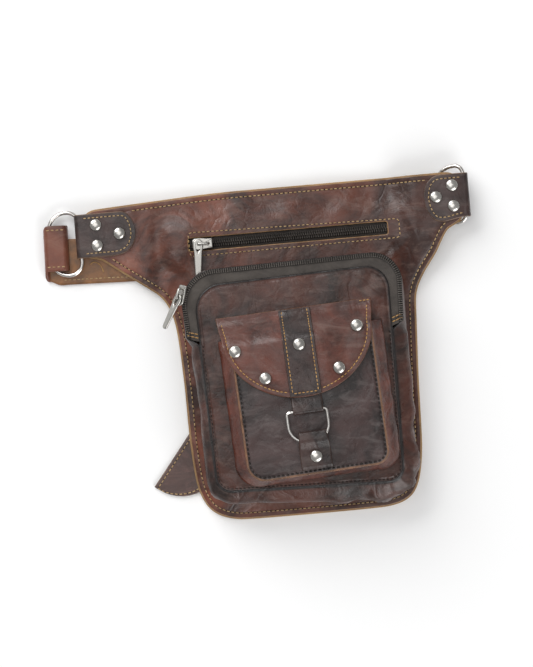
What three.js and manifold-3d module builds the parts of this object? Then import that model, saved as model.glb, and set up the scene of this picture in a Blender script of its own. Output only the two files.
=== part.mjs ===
// Leather waist bag lying on its back, in millimetres.
// +Z is out of the bag's front, +Y up the bag, +X to its right; the table is z = 0.
import * as THREE from 'three';
import { mergeVertices } from 'three/addons/utils/BufferGeometryUtils.js';
import Module from 'manifold-3d';

const wasm = await Module();
wasm.setup();

// Driving dimensions: leather and clearances
const clearance = 0.3;
const softGap = 0.8;
const leather = 1.8;
const thinLeather = 1.4;
const strapLeather = 2.2;
const backingEdge = 1.3;

// Driving dimensions: body panels
const reachLeft = 173;
const reachRight = 143;
const halfHeight = 130;
const wingLeft = 0.955;
const wingRight = 0.95;
const wingDrop = 6;
const pocketEase = 4.6;
const columnShares = [0, 0.035, 0.075, 0.13, 0.2, 0.26, 0.33, 0.5, 0.67, 0.79, 0.865, 0.92, 0.96, 1];

// Driving dimensions: top zip
const slotLeft = -83;
const slotRight = 76;
const slotBottom = 86.2;
const slotTop = 96.3;
const slotCut = 40;
const tapeMargin = 7;
const tapeEnd = 2;
const tapeThickness = 0.8;
const chainWidth = 6;
const chainHeight = 2.2;

// Driving dimensions: pouch
const pouchWidth = 156;
const pouchHeight = 170;
const pouchX = -4;
const pouchY = -24;
const pouchDepth = 28;
const pouchCrown = 1.6;
const pouchBelly = 1.6;
const zipEndY = 12;
const crestDrop = 5;
const zipTape = 1;
const toothHeight = 1.5;
const toothWidth = 3.4;

// Driving dimensions: front pocket, in its own turned frame
const pocketTurn = THREE.MathUtils.degToRad(3);
const pocketWidth = 112;
const pocketHeight = 115;
const pocketX = 0;
const pocketY = -40;
const pocketDepth = 16;
const pocketCrown = 1.2;
const gussetSpread = 9;
const flapWidth = 121;
const flapTop = 34;
const flapShoulder = 17;
const flapColumns = 12;
const flapDrop = 53;
const flapX = -3;
const stripWidth = 25;
const stripX = -2.5;

// Driving dimensions: rings, tabs and straps
const ringWire = 3;
const ringHalf = 25;
const ringReach = 25;
const ringSquareness = 3.2;
const leftLoopRoom = 1.4;
const rightLoopRoom = 2.6;
const leftRingY = 100.5;
const rightRingY = 113;
const ringLift = 3;
const barRoom = 0.4;
const ringFoldBack = 5.9;
const leftLoopReach = 12;
const rightLoopReach = 16;
const leftLoopLap = 2;
const rightLoopLap = 8;
const lapRise = 2;
const lapNear = 4.5;
const lapLevel = 6.5;
const closureWire = 2.2;
const closureHalf = 16.2;
const closureReach = 24;
const closureX = -3.8;
const closureBarY = -46.5;
const closureTabEnd = -93.2;
const closureTabFold = -64.2;
const tabWidth = 35;
const leftTabLength = 44.5;
const rightTabLength = 32.5;
const leftTabY = 105.5;
const rightTabY = 112;
const strapWidth = 36.5;
const strapLoopWidth = 27;
const leftStrapLength = 140;
const leftStrapTurn = THREE.MathUtils.degToRad(-2);
const leftStrapDrop = 11;
const tipX = -118;
const tipY = -104;
const tipTurn = THREE.MathUtils.degToRad(231.4);
const buckleWire = 3;
const buckleWidth = 46;
const buckleLength = 26;

// Driving dimensions: rivets and sliders
const rivetRadius = 4.9;
const rivetHeight = 2.7;
const rivetSides = 12;
const sliderLength = 16;
const sliderWidth = 9.6;
const sliderHeight = 2.4;
const bridgeWire = 1.8;
const pullLength = 27;
const pullWidth = 7;
const pullThickness = 1.8;
const pullSlack = 0.5;
const pullTilt = THREE.MathUtils.degToRad(3);

// Finishes
const finish = {
  brown: { color: 0x4a2a24, roughness: 0.42, metalness: 0 },
  dark: { color: 0x3a2c2a, roughness: 0.45, metalness: 0 },
  tan: { color: 0x9a7048, roughness: 0.85, metalness: 0 },
  zip: { color: 0x2b2a2a, roughness: 0.7, metalness: 0 },
  metal: { color: 0xc9c9c4, roughness: 0.22, metalness: 1 },
};

const bag = new THREE.Group();
const smooth = (from, to, value) => THREE.MathUtils.smoothstep(value, from, to);
const mix = THREE.MathUtils.lerp;

function addMesh(name, geometry, look, parent = bag) {
  const mesh = new THREE.Mesh(geometry, new THREE.MeshStandardMaterial(finish[look]));
  mesh.name = name;
  parent.add(mesh);
  return mesh;
}

// Closed body from points and triangles: doubles merged, flat triangles dropped, faces outwards
function closedBody(points, triangles) {
  const raw = new THREE.BufferGeometry().setFromPoints(points);
  raw.setIndex(triangles);
  const merged = mergeVertices(raw, 1e-4);
  const index = merged.index.array;
  const kept = [];
  for (let i = 0; i < index.length; i += 3) {
    const [a, b, c] = [index[i], index[i + 1], index[i + 2]];
    if (a !== b && b !== c && c !== a) kept.push(a, b, c);
  }
  const corner = (i) => new THREE.Vector3().fromBufferAttribute(merged.attributes.position, kept[i]);
  let volume = 0;
  for (let i = 0; i < kept.length; i += 3) {
    volume += corner(i).dot(corner(i + 1).cross(corner(i + 2)));
  }
  if (volume < 0) kept.reverse();
  merged.setIndex(kept);
  merged.computeVertexNormals();
  return merged;
}

// Body through section loops of equal length; a loop's two halves face each other
function loft(loops, closed = false) {
  const count = loops[0].length;
  const triangles = [];
  const quad = (a, b, c, d) => triangles.push(a, b, c, a, c, d);
  const spans = closed ? loops.length : loops.length - 1;
  for (let i = 0; i < spans; i += 1) {
    const here = i * count;
    const next = ((i + 1) % loops.length) * count;
    for (let j = 0; j < count; j += 1) {
      const k = (j + 1) % count;
      if (j < count / 2) quad(here + j, here + k, next + k, next + j);
      else quad(here + k, next + k, next + j, here + j);
    }
  }
  if (!closed) {
    const last = (loops.length - 1) * count;
    for (let j = 0; j < count / 2 - 1; j += 1) {
      const far = count - 1 - j;
      quad(j, far, far - 1, j + 1);
      quad(last + j, last + j + 1, last + far - 1, last + far);
    }
  }
  return closedBody(loops.flat(), triangles);
}

// Section loop: the points of one side, then those of the other side back again
const section = (upper, lower) => [...upper, ...lower.slice().reverse()];

// Sheet of leather through rows of points; underside(x, y) is the height of its lower face
function sheet(rows, thickness, underside) {
  return loft(rows.map((row) => section(
    row.map(([x, y, fromX = x, fromY = y]) => new THREE.Vector3(x, y, underside(fromX, fromY) + thickness)),
    row.map(([x, y, fromX = x, fromY = y]) => new THREE.Vector3(x, y, underside(fromX, fromY))),
  )));
}

const rowAcross = (left, right, y, columns) => Array.from({ length: columns + 1 },
  (_, i) => [mix(left, right, i / columns), y]);

// Strap of leather along stations, each with its centre, its side direction and its half widths
function ribbon(stations, thickness) {
  const loops = stations.map(({ at, side, up, left, right }) => {
    const half = up.clone().multiplyScalar(thickness / 2);
    const a = at.clone().addScaledVector(side, left);
    const b = at.clone().addScaledVector(side, -right);
    return [a.clone().add(half), b.clone().add(half), b.clone().sub(half), a.clone().sub(half)];
  });
  return loft(loops);
}

// Stations of a strap whose centre line is given as points, with the side direction held level
function stationsAlong(points, side, halfWidth) {
  return points.map((at, i) => {
    const before = points[Math.max(i - 1, 0)];
    const after = points[Math.min(i + 1, points.length - 1)];
    const along = after.clone().sub(before).normalize();
    const across = typeof side === 'function' ? side(i, along) : side;
    const width = typeof halfWidth === 'function' ? halfWidth(i, points.length - 1) : halfWidth;
    return { at, side: across, up: along.clone().cross(across).normalize(), left: width, right: width };
  });
}

// Wire of round section along a closed line of points
function closedWire(points, radius, normal, sides = 6) {
  const loops = points.map((at, i) => {
    const before = points[(i + points.length - 1) % points.length];
    const after = points[(i + 1) % points.length];
    const across = after.clone().sub(before).normalize().cross(normal).normalize();
    return Array.from({ length: sides }, (_, j) => {
      const turn = (2 * Math.PI * j) / sides;
      return at.clone().addScaledVector(across, radius * Math.cos(turn))
        .addScaledVector(normal, radius * Math.sin(turn));
    });
  });
  return loft(loops, true);
}

// Points round a corner-rounded outline, anticlockwise, each with its outward normal
function roundedOutline(corners, arcSteps, sideSteps) {
  const points = [];
  corners.forEach((corner, i) => {
    const before = corners[(i + corners.length - 1) % corners.length];
    const after = corners[(i + 1) % corners.length];
    const at = new THREE.Vector2(corner.x, corner.y);
    const back = new THREE.Vector2(before.x, before.y).sub(at).normalize();
    const ahead = new THREE.Vector2(after.x, after.y).sub(at).normalize();
    const half = Math.acos(back.dot(ahead)) / 2;
    const centre = at.clone().addScaledVector(back.clone().add(ahead).normalize(), corner.radius / Math.sin(half));
    const start = Math.atan2(-back.x, back.y) + Math.PI;
    const sweep = Math.PI - 2 * half;
    for (let k = 0; k <= arcSteps; k += 1) {
      const turn = start + (sweep * k) / arcSteps;
      const normal = new THREE.Vector2(Math.cos(turn), Math.sin(turn));
      points.push({ x: centre.x + corner.radius * normal.x, y: centre.y + corner.radius * normal.y, normal });
    }
    points[points.length - 1].sideAfter = true;
  });
  return points.flatMap((point, i) => {
    if (!point.sideAfter) return [point];
    const next = points[(i + 1) % points.length];
    return Array.from({ length: sideSteps }, (_, k) => ({
      x: mix(point.x, next.x, k / sideSteps),
      y: mix(point.y, next.y, k / sideSteps),
      normal: point.normal,
    }));
  });
}

// Plate inside an outline, in rings from its edge to its centre
function plate(outline, centre, shares, thickness, underside) {
  return loft(outline.map((point) => {
    const ring = shares.map((share) => [mix(centre[0], point.x, share), mix(centre[1], point.y, share)]);
    return section(
      ring.map(([x, y]) => new THREE.Vector3(x, y, underside(x, y) + thickness)),
      ring.map(([x, y]) => new THREE.Vector3(x, y, underside(x, y))),
    );
  }), true);
}

const plateShares = [1, 0.94, 0.66, 0.3, 0];

// Joins and cuts through the solid library
function toSolid(geometry) {
  const bare = geometry.clone();
  bare.deleteAttribute('normal');
  if (bare.attributes.uv) bare.deleteAttribute('uv');
  const merged = mergeVertices(bare, 1e-4);
  const vertProperties = new Float32Array(merged.attributes.position.array);
  return new wasm.Manifold(new wasm.Mesh({ numProp: 3, vertProperties, triVerts: new Uint32Array(merged.index.array) }));
}

function fromSolid(solid) {
  const { vertProperties, triVerts } = solid.getMesh();
  const geometry = new THREE.BufferGeometry();
  geometry.setAttribute('position', new THREE.BufferAttribute(vertProperties, 3));
  geometry.setIndex(Array.from(triVerts));
  geometry.computeVertexNormals();
  return geometry;
}

const ringTabStack = clearance + thinLeather + clearance;
const foldedStack = 2 * strapLeather + ringWire + 2 * clearance + rightLoopRoom;

// Height of the backing's underside: it lies on the straps and falls to the table beside them
function seat(x, y) {
  const run = new THREE.Vector2(tipX - rightLoop.x, tipY - rightLoop.y).normalize();
  const beside = (x - rightLoop.x) * -run.y + (y - rightLoop.y) * run.x;
  const onStrap = 1 - smooth(0.7 * strapWidth, 1.7 * strapWidth, beside);
  const leftRise = ringTabStack * smooth(0.58 * reachLeft, 0.74 * reachLeft, -x);
  const rightWing = smooth(0.54 * reachRight, 0.7 * reachRight, x) * smooth(0.24 * halfHeight, 0.66 * halfHeight, y);
  const rightRise = (foldedStack + ringTabStack - strapLeather - clearance) * rightWing;
  return (strapLeather + clearance) * mix(onStrap, 1, rightWing) + leftRise + rightRise;
}

// Slack of the front panel over the flat zip pocket behind it
function ease(x, y) {
  const wider = smooth(0.5 * halfHeight, 0.64 * halfHeight, y);
  const across = smooth(-0.55 * reachLeft, -0.46 * reachLeft, x + 0.09 * reachLeft * wider)
    * (1 - smooth(0.45 * reachRight, 0.58 * reachRight, x - 0.1 * reachRight * wider));
  const along = smooth(-0.98 * halfHeight, -0.78 * halfHeight, y) * (1 - smooth(0.77 * halfHeight, 0.95 * halfHeight, y));
  return pocketEase * across * along;
}

// Soft folds of the wings: place, direction, half length, half width and height as shares
const folds = [
  { x: -0.66, y: 0.7, turn: 84, length: 0.26, width: 0.04, height: 0.9 },
  { x: -0.53, y: 0.64, turn: 68, length: 0.26, width: 0.045, height: 0.9 },
  { x: 0.58, y: 0.6, turn: 104, length: 0.24, width: 0.045, height: 0.8 },
  { x: 0.02, y: 0.86, turn: 95, length: 0.1, width: 0.07, height: 0.5 },
];

function foldHeight(x, y) {
  return folds.reduce((sum, fold) => {
    const turn = THREE.MathUtils.degToRad(fold.turn);
    const dx = x - fold.x * (fold.x < 0 ? reachLeft : reachRight);
    const dy = y - fold.y * halfHeight;
    const along = (dx * Math.cos(turn) + dy * Math.sin(turn)) / (fold.length * halfHeight);
    const across = (dy * Math.cos(turn) - dx * Math.sin(turn)) / (fold.width * reachLeft);
    return sum + fold.height * leather * Math.exp(-along * along - across * across);
  }, 0);
}

// Body outline: a row for each height, as shares of half height, left reach and right reach
const bodyRows = [
  { y: -1, left: 0.318, right: 0.35 },
  { y: -0.988, left: 0.382, right: 0.448 },
  { y: -0.965, left: 0.434, right: 0.507 },
  { y: -0.927, left: 0.477, right: 0.549 },
  { y: -0.869, left: 0.506, right: 0.577 },
  { y: -0.785, left: 0.529, right: 0.598 },
  { y: -0.654, left: 0.54, right: 0.615 },
  { y: -0.462, left: 0.547, right: 0.621 },
  { y: -0.231, left: 0.547, right: 0.627 },
  { y: 0, left: 0.552, right: 0.638 },
  { y: 0.138, left: 0.558, right: 0.645 },
  { y: 0.231, left: 0.566, right: 0.648 },
  { y: 0.292, left: 0.577, right: 0.655 },
  { y: 0.354, left: 0.595, right: 0.676 },
  { y: 0.415, left: 0.627, right: 0.708 },
  { y: 0.469, left: 0.682, right: 0.743 },
  { y: 0.531, left: 0.746, right: 0.785 },
  { y: 0.592, left: 0.809, right: 0.814 },
  { y: 0.646, left: 0.861, right: 0.843 },
  { y: 0.672, left: 0.89, right: 0.864 },
  { y: 0.683, left: wingLeft, right: 0.886 },
  { y: 0.723, left: wingLeft, right: wingRight },
  { y: 0.8, left: wingLeft, right: wingRight },
  { y: 0.87, left: wingLeft, right: wingRight },
  { y: 0.94, left: wingLeft, right: wingRight },
  { y: 1, left: wingLeft, right: wingRight },
];

// Rows of the body outline grown by an outset; each point also keeps its place in the outline itself
function bodySheetRows(outset) {
  return bodyRows.map((row) => {
    const edge = outset * Math.sign(row.y) * smooth(0.95, 1, Math.abs(row.y));
    return columnShares.map((share) => {
      const x = mix(-row.left * reachLeft, row.right * reachRight, share);
      const wing = Math.max(0, -x - 0.35 * reachLeft) / (0.65 * reachLeft);
      const y = row.y * halfHeight - wingDrop * wing * smooth(0.66, 1, row.y);
      return [x + mix(-outset, outset, share), y + edge, x, y];
    });
  });
}

const backingUnderside = (x, y) => seat(x, y) + foldHeight(x, y);
const panelUnderside = (x, y) => backingUnderside(x, y) + leather + clearance + ease(x, y);
const panelTop = (x, y) => panelUnderside(x, y) + leather;

// Right ring lies folded back behind its tab: its fold, its slope and the strap loop on it
const barSeat = backingEdge + clearance + ringWire / 2 + barRoom;
const leftBarX = -(wingLeft * reachLeft + barSeat);
const rightBar = wingRight * reachRight + barSeat;
const rightLoop = { x: rightBar - ringReach - ringFoldBack, y: rightRingY - ringLift, turn: THREE.MathUtils.degToRad(200) };
const panelStack = 2 * leather + clearance;
const leftSeatHeight = strapLeather + clearance + ringTabStack;
const rightSeatHeight = foldedStack + ringTabStack;

addMesh('back_panel', sheet(bodySheetRows(backingEdge), leather, backingUnderside), 'tan');

function slottedPanel() {
  const panel = toSolid(sheet(bodySheetRows(0), leather, panelUnderside));
  const slot = new THREE.BoxGeometry(slotRight - slotLeft, slotTop - slotBottom, slotCut);
  slot.translate((slotLeft + slotRight) / 2, (slotBottom + slotTop) / 2, panelTop(0, slotTop));
  return fromSolid(panel.subtract(toSolid(slot)));
}

addMesh('front_panel', slottedPanel(), 'brown');

// Zip tape behind the slot, with its closed chain standing in it
function topZip() {
  const middle = (slotBottom + slotTop) / 2;
  const steps = 10;
  const reach = (slotTop - slotBottom) / 2 + tapeMargin;
  const inside = Array.from({ length: steps + 1 }, (_, i) => (
    mix(slotLeft + 2 * clearance, slotRight - 2 * clearance, i / steps)));
  const stations = [slotLeft - tapeEnd, slotLeft + clearance, ...inside, slotRight - clearance, slotRight + tapeEnd];
  return loft(stations.map((x, i) => {
    const under = (dy) => panelUnderside(x, middle + dy) - softGap;
    const inSlot = i > 1 && i < stations.length - 2 ? chainHeight : 0;
    const top = [-reach, -chainWidth / 2 - 0.2, -chainWidth / 2, chainWidth / 2, chainWidth / 2 + 0.2, reach];
    const bump = [0, 0, inSlot, inSlot, 0, 0];
    return section(
      top.map((dy, k) => new THREE.Vector3(x, middle + dy, under(dy) + bump[k])),
      top.map((dy) => new THREE.Vector3(x, middle + dy, under(dy) - tapeThickness)),
    );
  }));
}

addMesh('top_zip', topZip(), 'zip');

// Zip slider: shield-shaped body with a bridge along the zip; its left post carries the pull
const postX = -sliderLength * 0.22;
const bridgeGap = pullThickness + 2 * pullSlack;

function sliderBody() {
  const w = sliderWidth / 2;
  const l = sliderLength / 2;
  const outline = new THREE.Shape();
  outline.moveTo(-l, -w * 0.62);
  outline.quadraticCurveTo(-l * 0.9, -w, -l * 0.5, -w);
  outline.lineTo(l * 0.1, -w * 0.94);
  outline.lineTo(l, -w * 0.86);
  outline.lineTo(l, w * 0.86);
  outline.lineTo(l * 0.1, w * 0.94);
  outline.lineTo(-l * 0.5, w);
  outline.quadraticCurveTo(-l * 0.9, w, -l, w * 0.62);
  outline.closePath();
  const body = new THREE.ExtrudeGeometry(outline, { depth: sliderHeight, bevelEnabled: false, curveSegments: 4 });
  const span = sliderLength * 0.56;
  const arch = new THREE.Shape();
  const top = bridgeGap + bridgeWire * 0.8;
  arch.moveTo(-bridgeWire / 2, -bridgeWire / 2);
  arch.lineTo(-bridgeWire / 2, top * 0.8);
  arch.quadraticCurveTo(-bridgeWire * 0.4, top, bridgeWire * 0.5, top);
  arch.lineTo(span * 0.6, top);
  arch.quadraticCurveTo(span, top, span, bridgeGap * 0.4);
  arch.lineTo(span, -bridgeWire / 2);
  arch.lineTo(span - bridgeWire, -bridgeWire / 2);
  arch.lineTo(span - bridgeWire, bridgeGap * 0.4);
  arch.quadraticCurveTo(span - bridgeWire, bridgeGap, span * 0.5, bridgeGap);
  arch.lineTo(bridgeWire / 2, bridgeGap);
  arch.lineTo(bridgeWire / 2, -bridgeWire / 2);
  arch.closePath();
  const bridge = new THREE.ExtrudeGeometry(arch, { depth: bridgeWire * 1.1, bevelEnabled: false, curveSegments: 4 });
  bridge.translate(0, 0, -bridgeWire * 0.55);
  bridge.rotateX(Math.PI / 2);
  bridge.translate(postX, 0, sliderHeight);
  return fromSolid(toSolid(body).add(toSolid(bridge)));
}

// Pull: an eye round the bridge's post and a tapered tab, drawn pointing to -Y
function pullBody() {
  const hole = bridgeWire * 0.78 + clearance + 0.2;
  const eye = pullWidth / 2 + 0.5;
  const outline = new THREE.Shape();
  outline.absarc(0, 0, eye, 0, Math.PI, false);
  outline.lineTo(-eye, -eye * 0.9);
  outline.lineTo(-pullWidth / 2, -eye * 1.9);
  outline.lineTo(-pullWidth * 0.36, -pullLength + pullWidth * 0.36);
  outline.absarc(0, -pullLength + pullWidth * 0.36, pullWidth * 0.36, Math.PI, 2 * Math.PI, false);
  outline.lineTo(pullWidth / 2, -eye * 1.9);
  outline.lineTo(eye, -eye * 0.9);
  outline.closePath();
  const gap = new THREE.Path();
  gap.absarc(0, 0, hole, 0, Math.PI, false);
  gap.absarc(0, -eye * 0.9, hole, Math.PI, 2 * Math.PI, false);
  gap.closePath();
  outline.holes.push(gap);
  const geometry = new THREE.ExtrudeGeometry(outline, { depth: pullThickness, bevelEnabled: false, curveSegments: 8 });
  geometry.translate(0, 0, -pullThickness / 2);
  geometry.rotateX(pullTilt);
  return geometry;
}

// Slider and pull in a frame of their own: x along the zip, z out of it
function addSlider(prefix, place, along, outward, pullTurn) {
  const across = outward.clone().cross(along).normalize();
  const frame = new THREE.Group();
  frame.matrix.makeBasis(along, across, outward).setPosition(place);
  frame.matrix.decompose(frame.position, frame.quaternion, frame.scale);
  bag.add(frame);
  addMesh(`${prefix}_slider`, sliderBody(), 'metal', frame);
  const pull = addMesh(`${prefix}_pull`, pullBody(), 'metal', frame);
  pull.position.set(postX, 0, sliderHeight + bridgeGap / 2);
  pull.rotation.z = pullTurn;
  return frame;
}

const zAxis = new THREE.Vector3(0, 0, 1);
const topSliderX = slotLeft + 0.7 * sliderLength;
const slotMiddle = (slotBottom + slotTop) / 2;
const topSliderZ = Math.max(panelTop(topSliderX, slotTop), panelTop(topSliderX, slotBottom)) + 2 * clearance;
addSlider('top', new THREE.Vector3(topSliderX, slotMiddle, topSliderZ), new THREE.Vector3(1, 0, 0), zAxis,
  THREE.MathUtils.degToRad(-4));

// Pouch outlines: corners as shares of its half width and half height, radii as shares of its width
const pouchCorners = {
  seam: [
    { x: -0.93, y: -0.965, radius: 0.08 }, { x: 0.965, y: -1.01, radius: 0.08 },
    { x: 0.98, y: 1.02, radius: 0.12 }, { x: -1.0, y: 0.96, radius: 0.14 },
  ],
  crest: [
    { x: -1.0, y: -0.99, radius: 0.12 }, { x: 1.04, y: -1.04, radius: 0.12 },
    { x: 1.12, y: 1.135, radius: 0.15 }, { x: -1.15, y: 1.1, radius: 0.18 },
  ],
  base: [
    { x: -1.01, y: -1.06, radius: 0.14 }, { x: 1.09, y: -1.17, radius: 0.17 },
    { x: 1.12, y: 1.06, radius: 0.17 }, { x: -1.05, y: 1.02, radius: 0.19 },
  ],
};

function pouchOutline(kind) {
  const corners = pouchCorners[kind].map(({ x, y, radius }) => (
    { x: pouchX + (x * pouchWidth) / 2, y: pouchY + (y * pouchHeight) / 2, radius: radius * pouchWidth }));
  return roundedOutline(corners, 4, 8);
}

const seam = pouchOutline('seam');
const crest = pouchOutline('crest');
const base = pouchOutline('base');
const pouchCentre = [pouchX, pouchY];
const pouchFloor = strapLeather + clearance + panelStack + pocketEase + clearance;
const pouchTop = pouchFloor + pouchDepth;

function pouchFrontTop(x, y) {
  const across = (2 * (x - pouchX)) / pouchWidth;
  const along = (2 * (y - pouchY)) / pouchHeight;
  return pouchTop + pouchCrown * Math.max(0, 1 - across * across) * Math.max(0, 1 - along * along);
}

const zipShare = seam.map((point) => smooth(zipEndY - 6, zipEndY + 4, point.y));

// Crumples of the pouch's side wall: place round it, width and depth as shares
const crumples = [
  { at: 0.05, width: 0.02, depth: 0.8 },
  { at: 0.2, width: 0.025, depth: 1 },
  { at: 0.3, width: 0.02, depth: -0.9 },
  { at: 0.36, width: 0.02, depth: 1 },
  { at: 0.9, width: 0.03, depth: 0.7 },
  { at: 0.8, width: 0.03, depth: -0.6 },
];

const crumple = (share) => crumples.reduce((sum, { at, width, depth }) => (
  sum + depth * pouchBelly * Math.exp(-(((share - at) / width) ** 2))), 0);

function outward(point, normal, distance, z) {
  return new THREE.Vector3(point.x + normal.x * distance, point.y + normal.y * distance, z);
}

// Height of the side wall's foot: clear of the panel under the wall and half way to the next stations
function wallFoot(i) {
  const around = [-0.5, 0, 0.5].flatMap((step) => {
    const near = base[(i + Math.sign(step) + base.length) % base.length];
    const point = { x: mix(base[i].x, near.x, Math.abs(step)), y: mix(base[i].y, near.y, Math.abs(step)) };
    return [0, leather].map((inset) => panelTop(point.x - near.normal.x * inset, point.y - near.normal.y * inset));
  });
  return Math.max(...around) + softGap;
}

// Side wall: foot on the panel, belly, shoulder, and a rim under the front or below the zip
function pouchWallSection(i) {
  const normal = base[i].normal;
  const share = zipShare[i];
  const rim = { x: mix(seam[i].x, crest[i].x, share), y: mix(seam[i].y, crest[i].y, share) };
  const rimZ = mix(pouchTop - leather, pouchTop - crestDrop - zipTape, share) - clearance;
  const floorZ = wallFoot(i);
  const belly = pouchBelly + crumple(i / seam.length);
  const shoulder = { x: mix(base[i].x, rim.x, 0.45), y: mix(base[i].y, rim.y, 0.45) };
  const rows = [
    { at: base[i], out: 0, z: floorZ },
    { at: base[i], out: belly * 0.7, z: mix(floorZ, rimZ, 0.3) },
    { at: shoulder, out: belly, z: mix(floorZ, rimZ, 0.68) },
    { at: rim, out: belly * 0.3 * (1 - share), z: mix(floorZ, rimZ, 0.92) },
    { at: rim, out: -leather * 0.4, z: rimZ },
  ];
  const side = (inset) => rows.map(({ at, out, z }) => outward(at, normal, out - inset, z));
  return section(side(0), side(leather));
}

addMesh('pouch_gusset', loft(base.map((_, i) => pouchWallSection(i)), true), 'brown');
addMesh('pouch_front', plate(seam, pouchCentre, plateShares, leather, (x, y) => pouchFrontTop(x, y) - leather), 'brown');

// Zip round the pouch's top: tape tucked under the front's edge, teeth along the crest
function pouchZipSection(i) {
  const normal = seam[i].normal;
  const inner = outward(seam[i], normal, -0.02 * pouchWidth, 0);
  const outer = outward(crest[i], crest[i].normal, 0, 0);
  const tuckZ = pouchFrontTop(inner.x, inner.y) - leather - clearance;
  const crestZ = pouchTop - crestDrop;
  const bandWidth = inner.distanceTo(outer);
  const edge = 1 - toothWidth / bandWidth;
  const shares = [
    { at: 0, z: tuckZ }, { at: 0.35, z: tuckZ - 0.1 }, { at: edge - 0.02, z: mix(tuckZ, crestZ, 0.75) },
    { at: edge, z: mix(tuckZ, crestZ, 0.75) + toothHeight }, { at: 1, z: crestZ + toothHeight },
  ];
  const point = ({ at, z }, drop) => inner.clone().lerp(outer, at).setZ(z - drop);
  const lower = shares.map((row, k) => point(row, zipTape + (k > 2 ? toothHeight : 0)));
  return section(shares.map((row) => point(row, 0)), lower);
}

const zipStations = base.map((_, i) => i).filter((i) => zipShare[i] > 0.99);
addMesh('pouch_zip', loft(zipStations.map(pouchZipSection)), 'zip');

// Side slider on the crest at the pouch's upper left
const sliderStation = base.findIndex((_, i) => crest[i].x < pouchX && crest[i].normal.y < 0.36
  && crest[i].normal.x < 0 && zipShare[i] > 0.99);
const sideNormal = crest[sliderStation].normal;
const sideAlong = new THREE.Vector3(sideNormal.y, -sideNormal.x, 0);
const sideOut = new THREE.Vector3(sideNormal.x, sideNormal.y, 1).normalize();
const sidePlace = outward(crest[sliderStation], sideNormal, 0.4, pouchTop - crestDrop + toothHeight)
  .addScaledVector(sideOut, 0.2);
addSlider('side', sidePlace, sideAlong, sideOut, THREE.MathUtils.degToRad(-90 - 18));

// Front pocket, in a frame turned a little on the pouch's front
const pocketFrame = new THREE.Group();
pocketFrame.rotation.z = pocketTurn;
pocketFrame.position.set(0, 0, pouchTop);
bag.add(pocketFrame);

function onPouch(x, y) {
  const place = new THREE.Vector2(x, y).rotateAround(new THREE.Vector2(), pocketTurn);
  return pouchFrontTop(place.x, place.y) - pouchTop;
}

// Height of the pocket's front face; it falls to the pouch towards its mouth under the flap
const mouthFall = (y) => smooth(pocketY + 0.42 * pocketHeight, flapTop, y);
function pocketTop(x, y) {
  const across = (2 * (x - pocketX)) / pocketWidth;
  const along = (2 * (y - pocketY)) / pocketHeight;
  const crown = pocketCrown * Math.max(0, 1 - across * across) * Math.max(0, 1 - along * along);
  return mix(pocketDepth + pouchCrown + crown, onPouch(x, y), mouthFall(y));
}

const pocketMouth = pocketY + 0.495 * pocketHeight;
const arcSteps = 5;
const pocketCornersFront = [
  { x: pocketX - pocketWidth / 2, y: pocketY - pocketHeight / 2, radius: 0.13 * pocketWidth },
  { x: pocketX + pocketWidth / 2, y: pocketY - pocketHeight / 2 + 1, radius: 0.1 * pocketWidth },
  { x: pocketX + pocketWidth / 2, y: pocketMouth, radius: 0.02 * pocketWidth },
  { x: pocketX - pocketWidth / 2, y: pocketMouth, radius: 0.02 * pocketWidth },
];
const pocketEdge = roundedOutline(pocketCornersFront, arcSteps, 6);
addMesh('pocket_front', plate(pocketEdge, [pocketX, pocketY], plateShares, leather,
  (x, y) => pocketTop(x, y) - leather), 'dark', pocketFrame);

// Side wall of the pocket: down the left, along the bottom and up the right, open at the mouth
function pocketWall() {
  const bottomLeft = pocketEdge.slice(0, arcSteps + 1);
  const stations = [];
  const steps = 7;
  const leftX = pocketX - pocketWidth / 2;
  const rightX = pocketX + pocketWidth / 2;
  const lowLeft = bottomLeft[0];
  for (let i = 0; i < steps; i += 1) {
    stations.push({ x: leftX, y: mix(pocketMouth, lowLeft.y, i / steps), normal: new THREE.Vector2(-1, 0) });
  }
  const cornerStart = pocketEdge.findIndex((point) => point.normal.x > 0.999 && point.x > rightX - 0.01);
  stations.push(...pocketEdge.slice(0, cornerStart + 1));
  const lowRight = stations[stations.length - 1];
  for (let i = 1; i <= steps; i += 1) {
    stations.push({ x: rightX, y: mix(lowRight.y, pocketMouth, i / steps), normal: new THREE.Vector2(1, 0) });
  }
  return loft(stations.map(({ x, y, normal }) => {
    const spread = gussetSpread * mix(0.45, 1, Math.abs(normal.x));
    const baseX = x + normal.x * spread;
    const baseY = y + normal.y * spread;
    const floorZ = onPouch(baseX, baseY) + clearance;
    const rimZ = pocketTop(x, y) - leather - softGap - clearance / 2;
    const rows = [
      { out: spread, z: floorZ }, { out: spread * 0.85, z: mix(floorZ, rimZ, 0.45) },
      { out: spread * 0.3, z: mix(floorZ, rimZ, 0.85) }, { out: -leather * 0.3, z: rimZ },
    ];
    const side = (inset) => rows.map(({ out, z }) => outward({ x, y }, normal, out - inset, z));
    return section(side(0), side(leather));
  }));
}

addMesh('pocket_gusset', pocketWall(), 'brown', pocketFrame);

// Flap: straight sides to its shoulder, then half an ellipse; it rides over the closure's loop
const loopStack = 2 * thinLeather + 2 * clearance;
const flapUnder = (x, y) => pocketTop(x, y) + softGap
  + loopStack * (1 - smooth(0.62 * stripWidth, 1.5 * stripWidth, Math.abs(x - stripX))) * (1 - mouthFall(y));
const flapTopFace = (x, y) => flapUnder(x, y) + leather;

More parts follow.
